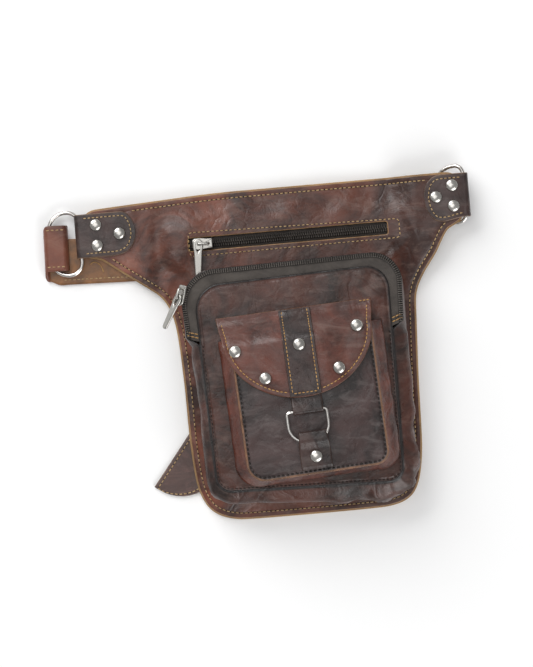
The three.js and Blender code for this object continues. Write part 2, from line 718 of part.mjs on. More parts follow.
function flapRows() {
  const rows = [];
  const straight = 5;
  for (let i = 0; i < straight; i += 1) {
    const y = mix(flapTop, flapShoulder, i / straight);
    const half = (flapWidth / 2) * mix(1.025, 0.98, i / straight);
    rows.push(rowAcross(flapX - half, flapX + half, y, flapColumns));
  }
  const curved = 10;
  for (let i = 0; i <= curved; i += 1) {
    const turn = (Math.PI / 2) * (i / curved) * 0.94;
    const half = (flapWidth / 2) * 0.98 * Math.cos(turn);
    rows.push(rowAcross(flapX - half, flapX + half, flapShoulder - flapDrop * Math.sin(turn), flapColumns));
  }
  return rows;
}

addMesh('pocket_flap', sheet(flapRows(), leather, flapUnder), 'brown', pocketFrame);

const flapTip = flapShoulder - flapDrop * Math.sin(0.47 * Math.PI);
const stripRows = flapRows().map((row) => row[0][1]).filter((y) => y > flapTip + 1).map((y) => rowAcross(
  stripX - stripWidth / 2, stripX + stripWidth / 2, Math.min(y, flapTop - clearance), 2));
addMesh('flap_strip', sheet(stripRows, thinLeather, (x, y) => flapTopFace(x, y) + clearance), 'dark', pocketFrame);

// Closure: ring with its bar in the flap's loop and its arc in the tab
const closureZ = (y) => pocketTop(closureX, y) + clearance + thinLeather + clearance + closureWire / 2;

function ringPoints(half, reach, steps) {
  const points = [];
  for (let i = 0; i <= steps; i += 1) {
    const turn = (Math.PI * i) / steps - Math.PI / 2;
    const power = 2 / ringSquareness;
    const across = Math.sign(Math.sin(turn)) * Math.abs(Math.sin(turn)) ** power;
    points.push([reach * Math.max(Math.cos(turn), 0) ** power, half * across]);
  }
  points.push([0, half * 0.5], [0, -half * 0.5]);
  return points;
}

const closureRingPoints = ringPoints(closureHalf, closureReach, 18)
  .map(([reach, side]) => new THREE.Vector3(closureX + side, closureBarY - reach, closureZ(closureBarY - closureReach / 2)));
addMesh('closure_ring', closedWire(closureRingPoints, closureWire / 2, zAxis), 'metal', pocketFrame);

// Folded strip: upper layer, a half round fold about the wire, lower layer back
function foldedStrip(points, fold, half, thickness, side) {
  const arc = Array.from({ length: 7 }, (_, i) => {
    const turn = Math.PI / 2 - (Math.PI * i) / 6;
    return new THREE.Vector3(fold.x, fold.y, fold.z)
      .addScaledVector(fold.out, Math.cos(turn) * fold.radius).addScaledVector(zAxis, Math.sin(turn) * fold.radius);
  });
  return ribbon(stationsAlong([...points.upper, ...arc, ...points.lower], side, half), thickness);
}

const closureLevel = closureZ(closureBarY - closureReach / 2);
const foldRadius = closureWire / 2 + clearance + thinLeather / 2;
const xAxis = new THREE.Vector3(1, 0, 0);
const yAxis = new THREE.Vector3(0, 1, 0);

function loopAboutBar() {
  const level = (y, z) => new THREE.Vector3(stripX, y, z);
  const under = flapTip + 12;
  const low = (y) => pocketTop(stripX, y) + clearance + thinLeather / 2;
  return foldedStrip({
    upper: [level(under, low(under) + thinLeather + clearance), level(flapTip, low(flapTip) + thinLeather + clearance),
      level(closureBarY + 3, closureLevel + foldRadius - 0.4), level(closureBarY, closureLevel + foldRadius)],
    lower: [level(closureBarY, closureLevel - foldRadius), level(flapTip, low(flapTip)), level(under, low(under))],
  }, { x: stripX, y: closureBarY, z: closureLevel, out: yAxis.clone().negate(), radius: foldRadius },
  stripWidth / 2 - 0.5, thinLeather, xAxis);
}

addMesh('flap_loop', loopAboutBar(), 'dark', pocketFrame);

const closureTabX = closureX + 2.3;
function closureTab() {
  const level = (y, z) => new THREE.Vector3(closureTabX, y, z);
  const arcY = closureTabFold - foldRadius + thinLeather / 2;
  const low = (y) => pocketTop(closureTabX, y) + clearance + thinLeather / 2;
  const lowEnd = mix(arcY, closureTabEnd, 0.5);
  const rest = (y) => low(y) + thinLeather + clearance;
  return foldedStrip({
    upper: [level(closureTabEnd, rest(closureTabEnd)), level(mix(arcY, closureTabEnd, 0.45), rest(closureTabEnd)),
      level(mix(arcY, closureTabEnd, 0.27), closureLevel + foldRadius), level(arcY, closureLevel + foldRadius)],
    lower: [level(arcY, closureLevel - foldRadius), level(lowEnd, low(lowEnd)), level(closureTabEnd + 1, low(closureTabEnd))],
  }, { x: closureTabX, y: arcY, z: closureLevel, out: yAxis, radius: foldRadius },
  (i) => (i < 2 ? 0.48 : 0.39) * stripWidth, thinLeather, xAxis);
}

addMesh('closure_tab', closureTab(), 'dark', pocketFrame);

// Rivets: domed caps seated on the leather
function addRivet(name, x, y, z, parent = bag) {
  const profile = [[0, 0], [rivetRadius, 0], [rivetRadius, 0.16], [0.92, 0.42], [0.62, 0.8], [0.28, 0.97], [0, 1]]
    .map(([r, h]) => new THREE.Vector2(r > 1 || r === 0 ? r : r * rivetRadius, h * rivetHeight));
  const geometry = new THREE.LatheGeometry(profile, rivetSides);
  geometry.rotateX(Math.PI / 2);
  addMesh(name, geometry, 'metal', parent).position.set(x, y, z);
}

const seatOn = (topOf, x, y) => Math.max(...[-1, -0.5, 0, 0.5, 1].flatMap((a) => [-1, 0, 1]
  .map((b) => topOf(x + a * rivetRadius, y + b * rivetRadius)))) + clearance;

const flapRivets = [
  { name: 'flap_rivet_1', x: -0.41, y: 0.12 }, { name: 'flap_rivet_2', x: -0.24, y: -0.33 },
  { name: 'flap_rivet_4', x: 0.24, y: -0.32 }, { name: 'flap_rivet_5', x: 0.39, y: 0.26 },
];
for (const { name, x, y } of flapRivets) {
  const at = [flapX + x * flapWidth, y * flapDrop];
  addRivet(name, ...at, seatOn(flapTopFace, ...at), pocketFrame);
}
addRivet('flap_rivet_3', stripX, 0.1 * flapDrop,
  seatOn((x, y) => flapTopFace(x, y) + clearance + thinLeather, stripX, 0.1 * flapDrop), pocketFrame);
addRivet('tab_rivet', closureTabX + 0.4, -83, pocketTop(closureTabX, -83) + 2 * thinLeather + 3 * clearance + 0.2, pocketFrame);

// End tabs: leather folded round the ring's bar, over the front and the back of a wing's end
function tabHalfWidths(along, length) {
  const end = tabWidth * 0.34;
  const left = length - along;
  return left > end ? tabWidth / 2 : (tabWidth / 2) * (0.52 + 0.48 * Math.sqrt(Math.max(0, 1 - ((end - left) / end) ** 2)));
}

function endTab(barX, y, seatHeight, direction, length) {
  const upperZ = seatHeight + panelStack + clearance + thinLeather / 2;
  const lowerZ = seatHeight - clearance - thinLeather / 2;
  const radius = (upperZ - lowerZ) / 2;
  const middle = (upperZ + lowerZ) / 2;
  const at = (along, z) => ({ at: new THREE.Vector3(barX + direction * along, y, z), along });
  const shares = [1, 0.97, 0.93, 0.88, 0.82, 0.76, 0.5, 0.1];
  const upper = shares.map((share) => at(share * length, upperZ));
  const arc = Array.from({ length: 7 }, (_, i) => {
    const turn = Math.PI / 2 + (Math.PI * i) / 6;
    return at(radius * Math.cos(turn), middle + radius * Math.sin(turn));
  });
  const lower = [0.1, 0.6].map((share) => at(share * length, lowerZ));
  const stations = [...upper, ...arc, ...lower];
  const points = stations.map((station) => station.at);
  const side = new THREE.Vector3(0, direction, 0);
  const halves = stations.map((station, i) => (i < upper.length ? tabHalfWidths(station.along, length) : tabWidth / 2));
  return ribbon(stationsAlong(points, side, (i) => halves[i]), thinLeather);
}

addMesh('left_tab', endTab(leftBarX, leftTabY, leftSeatHeight, 1, leftTabLength), 'dark');
addMesh('right_tab', endTab(rightBar, rightTabY, rightSeatHeight, -1, rightTabLength), 'dark');

const tabRivets = [{ along: 0.3, across: 0.235 }, { along: 0.3, across: -0.235 }, { along: 0.71, across: 0 }];
tabRivets.forEach(({ along, across }, i) => {
  const top = (height) => height + panelStack + clearance + thinLeather + clearance;
  addRivet(`left_rivet_${i + 1}`, leftBarX + along * leftTabLength, leftTabY + across * tabWidth, top(leftSeatHeight));
  addRivet(`right_rivet_${i + 1}`, rightBar - along * rightTabLength, rightTabY + across * tabWidth, top(rightSeatHeight));
});

// Rings: the bar in the tab's fold, the arc dropping to the strap's loop on the table
const loopZ = strapLeather + clearance + ringWire / 2;

function endRing(barX, y, barZ, reachX) {
  const slope = Math.asin((barZ - loopZ) / ringReach);
  const normal = new THREE.Vector3(Math.sign(reachX) * Math.sin(slope), 0, Math.cos(slope));
  const points = ringPoints(ringHalf, ringReach, 20).map(([reach, side]) => new THREE.Vector3(
    barX + Math.sign(reachX) * reach * Math.cos(slope), y + side, barZ - reach * Math.sin(slope)));
  return closedWire(points, ringWire / 2, normal);
}

const leftBarZ = leftSeatHeight + panelStack / 2;
const rightBarZ = rightSeatHeight + panelStack / 2;
addMesh('left_ring', endRing(leftBarX, leftRingY, leftBarZ, -1), 'metal');
addMesh('right_ring', endRing(rightBar, rightRingY, rightBarZ, -1), 'metal');

// Strap loops: an upper end laid back over the run, a fold about the ring's arc, then the run
const tableZ = strapLeather / 2;

function strapLoopPoints(at, heading, reach, lap, room) {
  const strapFold = (ringWire + room) / 2 + clearance + strapLeather / 2;
  const foldZ = tableZ + strapFold;
  const along = new THREE.Vector3(Math.cos(heading), Math.sin(heading), 0);
  const place = (distance, z) => at.clone().addScaledVector(along, distance).setZ(z);
  const top = foldZ + strapFold;
  const upper = [place(lap, tableZ + strapLeather + clearance), place(lap - lapRise, mix(tableZ + strapLeather, top, 0.5)),
    place(lap - lapNear, top - clearance), place(lap - lapLevel, top), place(-reach, top)];
  const arc = Array.from({ length: 5 }, (_, i) => {
    const turn = Math.PI / 2 + (Math.PI * (i + 1)) / 6;
    return place(-reach + strapFold * Math.cos(turn), foldZ + strapFold * Math.sin(turn));
  });
  return [...upper, ...arc, place(-reach, tableZ)];
}

// The left strap's run slides down a little behind its loop, then goes level
function leftRunPoint(distance) {
  const slide = leftStrapDrop * smooth(-leftLoopReach, 2 * leftLoopReach, distance);
  return new THREE.Vector3(leftBarX - ringReach + leftLoopReach + distance * Math.cos(leftStrapTurn),
    leftRingY - ringLift + distance * Math.sin(leftStrapTurn) - slide, tableZ);
}

function leftStrap() {
  const at = new THREE.Vector3(leftBarX - ringReach + leftLoopReach, leftRingY - ringLift, 0);
  const loop = strapLoopPoints(at, leftStrapTurn, leftLoopReach, leftLoopLap, leftLoopRoom);
  const run = [-0.04, 0.01, 0.06, 0.12, 0.2, 0.5, 0.94].map((share) => leftRunPoint(share * leftStrapLength));
  const side = new THREE.Vector3(-Math.sin(leftStrapTurn), Math.cos(leftStrapTurn), 0);
  return ribbon(stationsAlong([...loop, ...run], side, strapWidth / 2), strapLeather);
}

addMesh('left_strap', leftStrap(), 'brown');

// Hidden buckle: a plain flat frame at the end of the left strap
function strapBuckle() {
  const along = new THREE.Vector3(Math.cos(leftStrapTurn), Math.sin(leftStrapTurn), 0);
  const across = new THREE.Vector3(-along.y, along.x, 0);
  const start = leftRunPoint(0.94 * leftStrapLength + clearance + buckleWire / 2);
  const corners = [[0, -1], [0, 1], [1, 1], [1, -1]].map(([u, v]) => start.clone()
    .addScaledVector(along, u * buckleLength).addScaledVector(across, (v * buckleWidth) / 2));
  const points = corners.flatMap((corner, i) => {
    const next = corners[(i + 1) % 4];
    return [0.12, 0.5, 0.88].map((share) => corner.clone().lerp(next, share));
  });
  return closedWire(points, Math.min(buckleWire, strapLeather) / 2, zAxis, 6);
}

addMesh('strap_buckle', strapBuckle(), 'metal');

// Right strap: behind the bag from the folded ring down to its free, rounded tip
function rightStrap() {
  const start = new THREE.Vector3(rightLoop.x, rightLoop.y, 0);
  const loop = strapLoopPoints(start, rightLoop.turn, rightLoopReach, rightLoopLap, rightLoopRoom);
  const tip = new THREE.Vector3(tipX, tipY, tableZ);
  const length = tip.distanceTo(start);
  const heading = (turn) => new THREE.Vector3(Math.cos(turn), Math.sin(turn), 0);
  const from = start.clone().setZ(tableZ).addScaledVector(heading(rightLoop.turn), lapRise);
  const curve = new THREE.CubicBezierCurve3(from, from.clone().addScaledVector(heading(rightLoop.turn), 0.28 * length),
    tip.clone().addScaledVector(heading(tipTurn), -0.38 * length), tip);
  const shares = [0, 0.08, 0.17, 0.27, 0.38, 0.5, 0.62, 0.74, 0.84, 0.895, 0.925, 0.955, 0.98, 1];
  const run = shares.map((share) => curve.getPoint(share));
  const points = [...loop, ...run];
  const tipReach = 0.85 * strapWidth;
  const stations = stationsAlong(points, (i, along) => {
    if (i < loop.length) return new THREE.Vector3(-Math.sin(rightLoop.turn), Math.cos(rightLoop.turn), 0);
    return new THREE.Vector3(-along.y, along.x, 0).normalize();
  }, (i) => mix(strapLoopWidth, strapWidth, smooth(loop.length, loop.length + 4, i)) / 2);
  stations.forEach((station, i) => {
    const left = station.at.distanceTo(tip);
    if (i > loop.length && left < tipReach) {
      const round = Math.sqrt(Math.max(0, 1 - (1 - left / tipReach) ** 2));
      station.left = mix(-strapWidth * 0.42, strapWidth / 2, round);
    }
  });
  return ribbon(stations, strapLeather);
}

addMesh('right_strap', rightStrap(), 'brown');

// Origin at the middle of the underside of the whole bag's box
bag.updateMatrixWorld(true);
const box = new THREE.Box3().setFromObject(bag);
const centre = box.getCenter(new THREE.Vector3());
bag.position.set(-centre.x, -centre.y, -box.min.z);

const part = new THREE.Group();
part.add(bag);

export default part;
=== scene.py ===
"""Visual model of a leather waist bag lying on its back, in the frame of its solid model."""
import logging
import math
from dataclasses import dataclass, field
from enum import Enum
from typing import Callable, Sequence

import bpy
import numpy as np
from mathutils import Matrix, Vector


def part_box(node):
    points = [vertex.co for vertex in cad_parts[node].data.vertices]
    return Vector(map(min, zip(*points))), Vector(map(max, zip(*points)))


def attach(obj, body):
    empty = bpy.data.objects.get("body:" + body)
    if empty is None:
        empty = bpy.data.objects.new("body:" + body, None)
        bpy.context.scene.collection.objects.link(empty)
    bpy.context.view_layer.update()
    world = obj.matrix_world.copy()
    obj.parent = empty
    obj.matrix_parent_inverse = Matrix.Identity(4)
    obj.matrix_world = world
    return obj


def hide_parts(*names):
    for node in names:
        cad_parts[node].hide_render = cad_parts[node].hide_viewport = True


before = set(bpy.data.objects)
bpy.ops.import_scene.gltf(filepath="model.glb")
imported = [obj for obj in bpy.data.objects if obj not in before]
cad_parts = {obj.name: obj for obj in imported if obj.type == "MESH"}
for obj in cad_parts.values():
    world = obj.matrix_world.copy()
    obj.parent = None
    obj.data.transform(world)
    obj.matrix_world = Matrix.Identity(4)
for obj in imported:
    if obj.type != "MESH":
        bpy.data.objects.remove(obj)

LOG = logging.getLogger("waist_bag")
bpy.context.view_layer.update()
MM = 0.001
Z_UP = np.array([0.0, 0.0, 1.0])


class Body(Enum):
    """Bodies of the solid model that pieces ride on."""

    BAG = "bag"
    TOP_PULL = "top_pull_body"
    SIDE_PULL = "side_pull_body"


def smooth(low: float, high: float, value: np.ndarray) -> np.ndarray:
    """Eased step: 3t^2 - 2t^3 of the share t that value has covered from low to high."""
    share = np.clip((np.asarray(value, float) - low) / (high - low), 0.0, 1.0)
    return share * share * (3.0 - 2.0 * share)


def mix(a: np.ndarray, b: np.ndarray, share: np.ndarray) -> np.ndarray:
    """Straight blend from a to b."""
    return a + (b - a) * share


def path_lengths(points: np.ndarray) -> np.ndarray:
    """Length along a line of points up to each of them."""
    return np.concatenate([[0.0], np.cumsum(np.linalg.norm(np.diff(points, axis=0), axis=1))])


def resample(points: np.ndarray, count: int, closed: bool = False) -> np.ndarray:
    """Points spaced evenly along a line of points."""
    line = np.vstack([points, points[:1]]) if closed else points
    reach = path_lengths(line)
    at = np.linspace(0.0, reach[-1], count, endpoint=not closed)
    return np.stack([np.interp(at, reach, line[:, k]) for k in range(line.shape[1])], axis=1)


def soften(points: np.ndarray, rounds: int, closed: bool = True) -> np.ndarray:
    """Rounds a line of points by cutting each side at a quarter and at three quarters."""
    for _ in range(rounds):
        after = np.roll(points, -1, axis=0)
        cut = np.stack([0.75 * points + 0.25 * after, 0.25 * points + 0.75 * after], axis=1)
        if closed:
            points = cut.reshape(-1, points.shape[1])
        else:
            points = np.vstack([points[:1], cut[:-1].reshape(-1, points.shape[1]), points[-1:]])
    return points


def tangents(points: np.ndarray, closed: bool = False) -> np.ndarray:
    """Unit directions along a line of points."""
    if closed:
        step = np.roll(points, -1, axis=0) - np.roll(points, 1, axis=0)
    else:
        step = np.gradient(points, axis=0)
    return step / np.maximum(np.linalg.norm(step, axis=1, keepdims=True), 1e-9)


def outward_normals(outline: np.ndarray) -> np.ndarray:
    """Outward unit normals of an anticlockwise closed outline."""
    along = tangents(outline, closed=True)
    return np.stack([along[:, 1], -along[:, 0]], axis=1)


@dataclass
class Shell:
    """Points, faces and a mask of one mesh under construction, in bag millimetres."""

    points: np.ndarray
    faces: list = field(default_factory=list)
    mask: np.ndarray | None = None

    def moved(self, rows: np.ndarray, shift: Sequence[float]) -> "Shell":
        """The same shell turned by a matrix with its axes as rows, then shifted."""
        return Shell(self.points @ np.asarray(rows) + np.asarray(shift), self.faces, self.mask)


def grid_faces(loops: int, count: int, closed: bool) -> np.ndarray:
    """Quads of a grid of loops, each loop closed, with the loops joined in a row or in a ring."""
    spans = loops if closed else loops - 1
    i = np.arange(spans)[:, None]
    j = np.arange(count)[None, :]
    k = (j + 1) % count
    nxt = (i + 1) % loops
    return np.stack([i * count + j, nxt * count + j, nxt * count + k, i * count + k], axis=-1).reshape(-1, 4)


def loft(loops: np.ndarray, closed: bool = False, mask: np.ndarray | None = None) -> Shell:
    """Closed body through section loops.

    Args:
        loops: section loops, shape (loops, points, 3).
        closed: whether the last loop joins the first one.
        mask: one value per point, for the material.
    """
    number, count, _ = loops.shape
    faces = grid_faces(number, count, closed).tolist()
    if not closed:
        faces.append(list(range(count)))
        faces.append(list(range((number - 1) * count, number * count))[::-1])
    return Shell(loops.reshape(-1, 3), faces, None if mask is None else mask.reshape(-1))


def joined(shells: Sequence[Shell]) -> Shell:
    """Several shells as one mesh."""
    faces: list = []
    start = 0
    for shell in shells:
        faces.extend([[v + start for v in face] for face in shell.faces])
        start += len(shell.points)
    masks = [np.zeros(len(s.points)) if s.mask is None else s.mask for s in shells]
    return Shell(np.vstack([s.points for s in shells]), faces, np.concatenate(masks))


EDGE_STEPS = np.array([0.0, 0.1, 0.25, 0.45, 0.75, 1.2, 1.9, 2.8, 3.5, 4.0, 4.5, 5.4, 6.6])


def edge_fall(inset: np.ndarray, radius: float) -> np.ndarray:
    """How far a rounded edge lies below its face: r - sqrt(r^2 - (r - inset)^2)."""
    short = np.clip(radius - inset, 0.0, radius)
    return radius - np.sqrt(np.maximum(radius * radius - short * short, 0.0))


@dataclass
class Sheet:
    """Sheet of leather inside an outline, in rings from its edge to an inner line.

    The top face is under(x, y) + thickness, less the rounding of the edge and a groove under the
    stitches; the underside is under(x, y).
    """

    outline: np.ndarray
    inner: np.ndarray
    thickness: float
    under: Callable[[np.ndarray, np.ndarray], np.ndarray]
    rings: int = 30
    round: float = 0.7
    groove: float = 0.3
    groove_at: float = 4.0
    inner_edge: bool = False
    edge_band_width: float = 0.3
    raw_inner: float = 0.3
    steps: np.ndarray = field(default_factory=lambda: EDGE_STEPS)

    def build(self) -> Shell:
        """Points and faces of the sheet; its mask is 1 on its cut edges, which most finishes colour as cut leather and
        the pouch's finish as painted seam shade.
        """
        normal = outward_normals(self.outline)
        edge = [self.outline - normal * d for d in self.steps]
        last = edge[-1]
        shares = np.linspace(0.0, 1.0, self.rings + 1)[1:] ** 0.9
        inside = [mix(last, self.inner, s) for s in shares]
        inset = list(self.steps) + [self.steps[-1] + 5.0] * self.rings
        if self.inner_edge:
            spread = outward_normals(self.inner)
            inside = [mix(last, self.inner + spread * 2.6, s) for s in shares]
            back = np.array([1.6, 0.9, 0.45, 0.2, 0.0])
            inside += [self.inner + spread * d for d in back]
            inset = inset + list(back)
        flat = np.stack(edge + inside, axis=1)
        inset = np.array(inset)[None, :]
        under = self.under(flat[..., 0], flat[..., 1])
        fall = edge_fall(inset, self.round)
        dip = self.groove * np.exp(-(((inset - self.groove_at) / 1.1) ** 2)) if self.groove else 0.0
        top = np.dstack([flat, under + self.thickness - fall - dip])
        low = [0, 2, 4, 8] + list(range(len(self.steps) - 1, flat.shape[1], 2))
        if low[-1] != flat.shape[1] - 1:
            low.append(flat.shape[1] - 1)
        lower = np.dstack([flat, under + np.minimum(fall, self.thickness * 0.45)])[:, low]
        raw = (inset < self.edge_band_width).astype(float)
        if self.inner_edge:
            raw[0, len(self.steps):] = inset[0, len(self.steps):] < self.raw_inner
        raw = np.broadcast_to(raw, top.shape[:2])
        loops = np.concatenate([top, lower[:, ::-1]], axis=1)
        mask = np.concatenate([raw, np.ones(lower.shape[:2])], axis=1)
        if self.inner_edge:
            return loft(loops, closed=True, mask=mask)
        number, count, _ = loops.shape
        rings = top.shape[1]
        i = np.arange(number)
        nxt = (i + 1) % number
        j = np.array([c for c in range(count - 1) if c != rings - 1] + [count - 1])
        k = (j + 1) % count
        quads = np.stack([i[:, None] * count + j, i[:, None] * count + k,
                          nxt[:, None] * count + k, nxt[:, None] * count + j], axis=-1).reshape(-1, 4).tolist()
        quads.append((i * count + rings - 1).tolist()[::-1])
        quads.append((i * count + rings).tolist())
        return Shell(loops.reshape(-1, 3), quads, mask.reshape(-1))


def core_of(outline: np.ndarray, centre: Sequence[float], share: float = 0.03) -> np.ndarray:
    """Small copy of an outline about a centre, where a sheet's rings end."""
    return np.asarray(centre) + (outline - np.asarray(centre)) * share


def ribbon(centre: np.ndarray, side: np.ndarray, half: np.ndarray, thickness: float,
           edge_band_width: float = 0.25) -> Shell:
    """Band of leather along a line.

    Args:
        centre: points of the centre line.
        side: unit direction across the band at each point.
        half: half width at each point.
        thickness: leather thickness.
        edge_band_width: width of the cut edge band that shows from above.
    """
    normal = np.cross(tangents(centre), side)
    normal /= np.linalg.norm(normal, axis=1, keepdims=True)
    across = np.array([-1, -0.985, -0.95, -0.88, -0.78, -0.6, -0.3, 0, 0.3, 0.6, 0.78, 0.88, 0.95, 0.985, 1])
    radius = thickness * 0.45
    inset = (1.0 - np.abs(across))[None, :] * half[:, None]
    fall = edge_fall(inset, radius)
    base = centre[:, None, :] + side[:, None, :] * (across[None, :, None] * half[:, None, None])
    top = base + normal[:, None, :] * (thickness / 2 - fall)[..., None]
    low = base - normal[:, None, :] * (thickness / 2 - fall)[..., None]
    loops = np.concatenate([top, low[:, ::-1]], axis=1)
    raw = (inset < edge_band_width).astype(float)
    mask = np.concatenate([raw, np.full(inset.shape, 1.0)], axis=1)
    return loft(loops, mask=mask)


def tube(points: np.ndarray, radius: float | np.ndarray, normal: np.ndarray, closed: bool = True,
         sides: int = 16, squash: float = 1.0) -> Shell:
    """Wire of round section along a line of points."""
    along = tangents(points, closed)
    across = np.cross(along, normal)
    across /= np.linalg.norm(across, axis=1, keepdims=True)
    up = np.cross(across, along)
    turn = np.linspace(0.0, 2 * np.pi, sides, endpoint=False)
    reach = np.broadcast_to(np.asarray(radius, float), (len(points),))[:, None, None]
    loops = (points[:, None, :] + across[:, None, :] * np.cos(turn)[None, :, None] * reach
             + up[:, None, :] * np.sin(turn)[None, :, None] * reach * squash)
    return loft(loops, closed=closed)


def rounded_outline(corners: np.ndarray, arc_steps: int, side_steps: int) -> np.ndarray:
    """Anticlockwise outline with rounded corners; each corner is x, y, radius."""
    number = len(corners)
    arcs = []
    for i in range(number):
        at = corners[i, :2]
        back = corners[(i - 1) % number, :2] - at
        ahead = corners[(i + 1) % number, :2] - at
        back /= np.linalg.norm(back)
        ahead /= np.linalg.norm(ahead)
        half = math.acos(float(np.dot(back, ahead))) / 2
        bisector = (back + ahead) / np.linalg.norm(back + ahead)
        centre = at + bisector * corners[i, 2] / math.sin(half)
        start = math.atan2(-back[0], back[1]) + math.pi
        turn = start + (math.pi - 2 * half) * np.linspace(0.0, 1.0, arc_steps + 1)
        arcs.append(centre + corners[i, 2] * np.stack([np.cos(turn), np.sin(turn)], axis=1))
    parts = []
    for i in range(number):
        parts.append(arcs[i])
        share = np.arange(1, side_steps)[:, None] / side_steps
        parts.append(mix(arcs[i][-1], arcs[(i + 1) % number][0], share))
    return np.vstack(parts)


def catmull(points: np.ndarray, per_span: int) -> np.ndarray:
    """Smooth line through points, with per_span steps between neighbours."""
    padded = np.vstack([2 * points[0] - points[1], points, 2 * points[-1] - points[-2]])
    t = np.linspace(0.0, 1.0, per_span, endpoint=False)[None, :, None]
    a, b, c, d = (padded[k:len(padded) - 3 + k][:, None, :] for k in range(4))
    curve = 0.5 * (2 * b + (c - a) * t + (2 * a - 5 * b + 4 * c - d) * t * t + (3 * b - a - 3 * c + d) * t ** 3)
    return np.vstack([curve.reshape(-1, points.shape[1]), points[-1:]])


@dataclass(frozen=True)
class Form:
    """Sizes of the bag and the heights of its soft layers, in millimetres."""

    clearance: float = 0.3
    soft_gap: float = 0.8
    leather: float = 1.8
    thin: float = 1.4
    strap: float = 2.2
    reach_left: float = 173.0
    reach_right: float = 143.0
    half_height: float = 130.0
    wing_left: float = 0.955
    wing_right: float = 0.95
    wing_drop: float = 6.0
    pocket_ease: float = 4.6
    backing_edge: float = 1.3
    strap_width: float = 36.5
    ring_wire: float = 3.0
    ring_half: float = 25.0
    ring_reach: float = 25.0
    ring_lift: float = 3.0
    left_ring_y: float = 100.5
    right_ring_y: float = 113.0
    right_loop_room: float = 2.6
    left_loop_room: float = 1.4
    tip: tuple = (-112.8, -110.0)
    pouch_width: float = 156.0
    pouch_height: float = 170.0
    pouch_x: float = -4.0
    pouch_y: float = -24.0
    pouch_depth: float = 28.0
    pouch_crown: float = 1.6
    pocket_turn: float = math.radians(3.0)
    pocket_width: float = 112.0
    pocket_height: float = 115.0
    pocket_x: float = 0.0
    pocket_y: float = -40.0
    pocket_depth: float = 16.0
    pocket_crown: float = 1.2
    flap_top: float = 34.0
    strip_width: float = 25.0
    strip_x: float = -2.5

    @property
    def ring_tab_stack(self) -> float:
        """Height of a tab's lower layer with its clearances."""
        return 2 * self.clearance + self.thin

    @property
    def folded_stack(self) -> float:
        """Height of the right strap's loop about its ring."""
        return 2 * self.strap + self.ring_wire + 2 * self.clearance + self.right_loop_room

    @property
    def bar_seat(self) -> float:
        """Distance from a wing's end to the middle of its ring's bar."""
        return self.backing_edge + self.clearance + self.ring_wire / 2 + 0.4

    @property
    def left_bar(self) -> float:
        """X of the left ring's bar."""
        return -(self.wing_left * self.reach_left + self.bar_seat)

    @property
    def right_bar(self) -> float:
        """X of the right ring's bar."""
        return self.wing_right * self.reach_right + self.bar_seat

    @property
    def right_loop(self) -> np.ndarray:
        """Start of the right strap at its ring."""
        return np.array([self.right_bar - self.ring_reach - 5.9, self.right_ring_y - self.ring_lift])

    @property
    def panel_stack(self) -> float:
        """Thickness of backing and front panel together."""
        return 2 * self.leather + self.clearance

    @property
    def left_seat(self) -> float:
        """Height of the backing's underside at the left end."""
        return self.strap + self.clearance + self.ring_tab_stack

    @property
    def right_seat(self) -> float:
        """Height of the backing's underside at the right end."""
        return self.folded_stack + self.ring_tab_stack

    @property
    def pouch_floor(self) -> float:
        """Level of the pouch's foot."""
        return self.strap + self.clearance + self.panel_stack + self.pocket_ease + self.clearance

    @property
    def pouch_top(self) -> float:
        """Level of the pouch's front at its edge."""
        return self.pouch_floor + self.pouch_depth

    def seat(self, x: np.ndarray, y: np.ndarray) -> np.ndarray:
        """Height of the backing's underside: on the straps, or on the table beside them."""
        run = np.array(self.tip) - self.right_loop
        run = run / np.linalg.norm(run)
        beside = (x - self.right_loop[0]) * -run[1] + (y - self.right_loop[1]) * run[0]
        on_strap = 1 - smooth(0.7 * self.strap_width, 1.7 * self.strap_width, beside)
        left = self.ring_tab_stack * smooth(0.58 * self.reach_left, 0.74 * self.reach_left, -x)
        wing = (smooth(0.54 * self.reach_right, 0.7 * self.reach_right, x)
                * smooth(0.24 * self.half_height, 0.66 * self.half_height, y))
        right = (self.folded_stack + self.ring_tab_stack - self.strap - self.clearance) * wing
        return (self.strap + self.clearance) * mix(on_strap, 1.0, wing) + left + right

    def ease(self, x: np.ndarray, y: np.ndarray) -> np.ndarray:
        """Slack of the front panel over the flat zip pocket."""
        high = self.half_height
        wider = smooth(0.5 * high, 0.64 * high, y)
        left = smooth(-0.55 * self.reach_left, -0.46 * self.reach_left, x + 0.09 * self.reach_left * wider)
        right = 1 - smooth(0.45 * self.reach_right, 0.58 * self.reach_right, x - 0.1 * self.reach_right * wider)
        along = smooth(-0.98 * high, -0.78 * high, y) * (1 - smooth(0.77 * high, 0.95 * high, y))
        return self.pocket_ease * left * right * along

    def folds(self, x: np.ndarray, y: np.ndarray) -> np.ndarray:
        """Soft folds of the wings, as long low bumps."""
        total = np.zeros(np.shape(x))
        for fold in FOLDS:
            turn = math.radians(fold["turn"])
            reach = self.reach_left if fold["x"] < 0 else self.reach_right
            dx = x - fold["x"] * reach
            dy = y - fold["y"] * self.half_height
            along = (dx * math.cos(turn) + dy * math.sin(turn)) / (fold["length"] * self.half_height)
            across = (dy * math.cos(turn) - dx * math.sin(turn)) / (fold["width"] * self.reach_left)
            total = total + fold["height"] * self.leather * np.exp(-along ** 2 - across ** 2)
        return total

    def backing_under(self, x: np.ndarray, y: np.ndarray) -> np.ndarray:
        """Underside of the backing."""
        return self.seat(x, y) + self.folds(x, y)

    def panel_under(self, x: np.ndarray, y: np.ndarray) -> np.ndarray:
        """Underside of the front panel."""
        return self.backing_under(x, y) + self.leather + self.clearance + self.ease(x, y) + self.ripple(x, y)

    def panel_top(self, x: np.ndarray, y: np.ndarray) -> np.ndarray:
        """Top of the front panel."""
        return self.panel_under(x, y) + self.leather

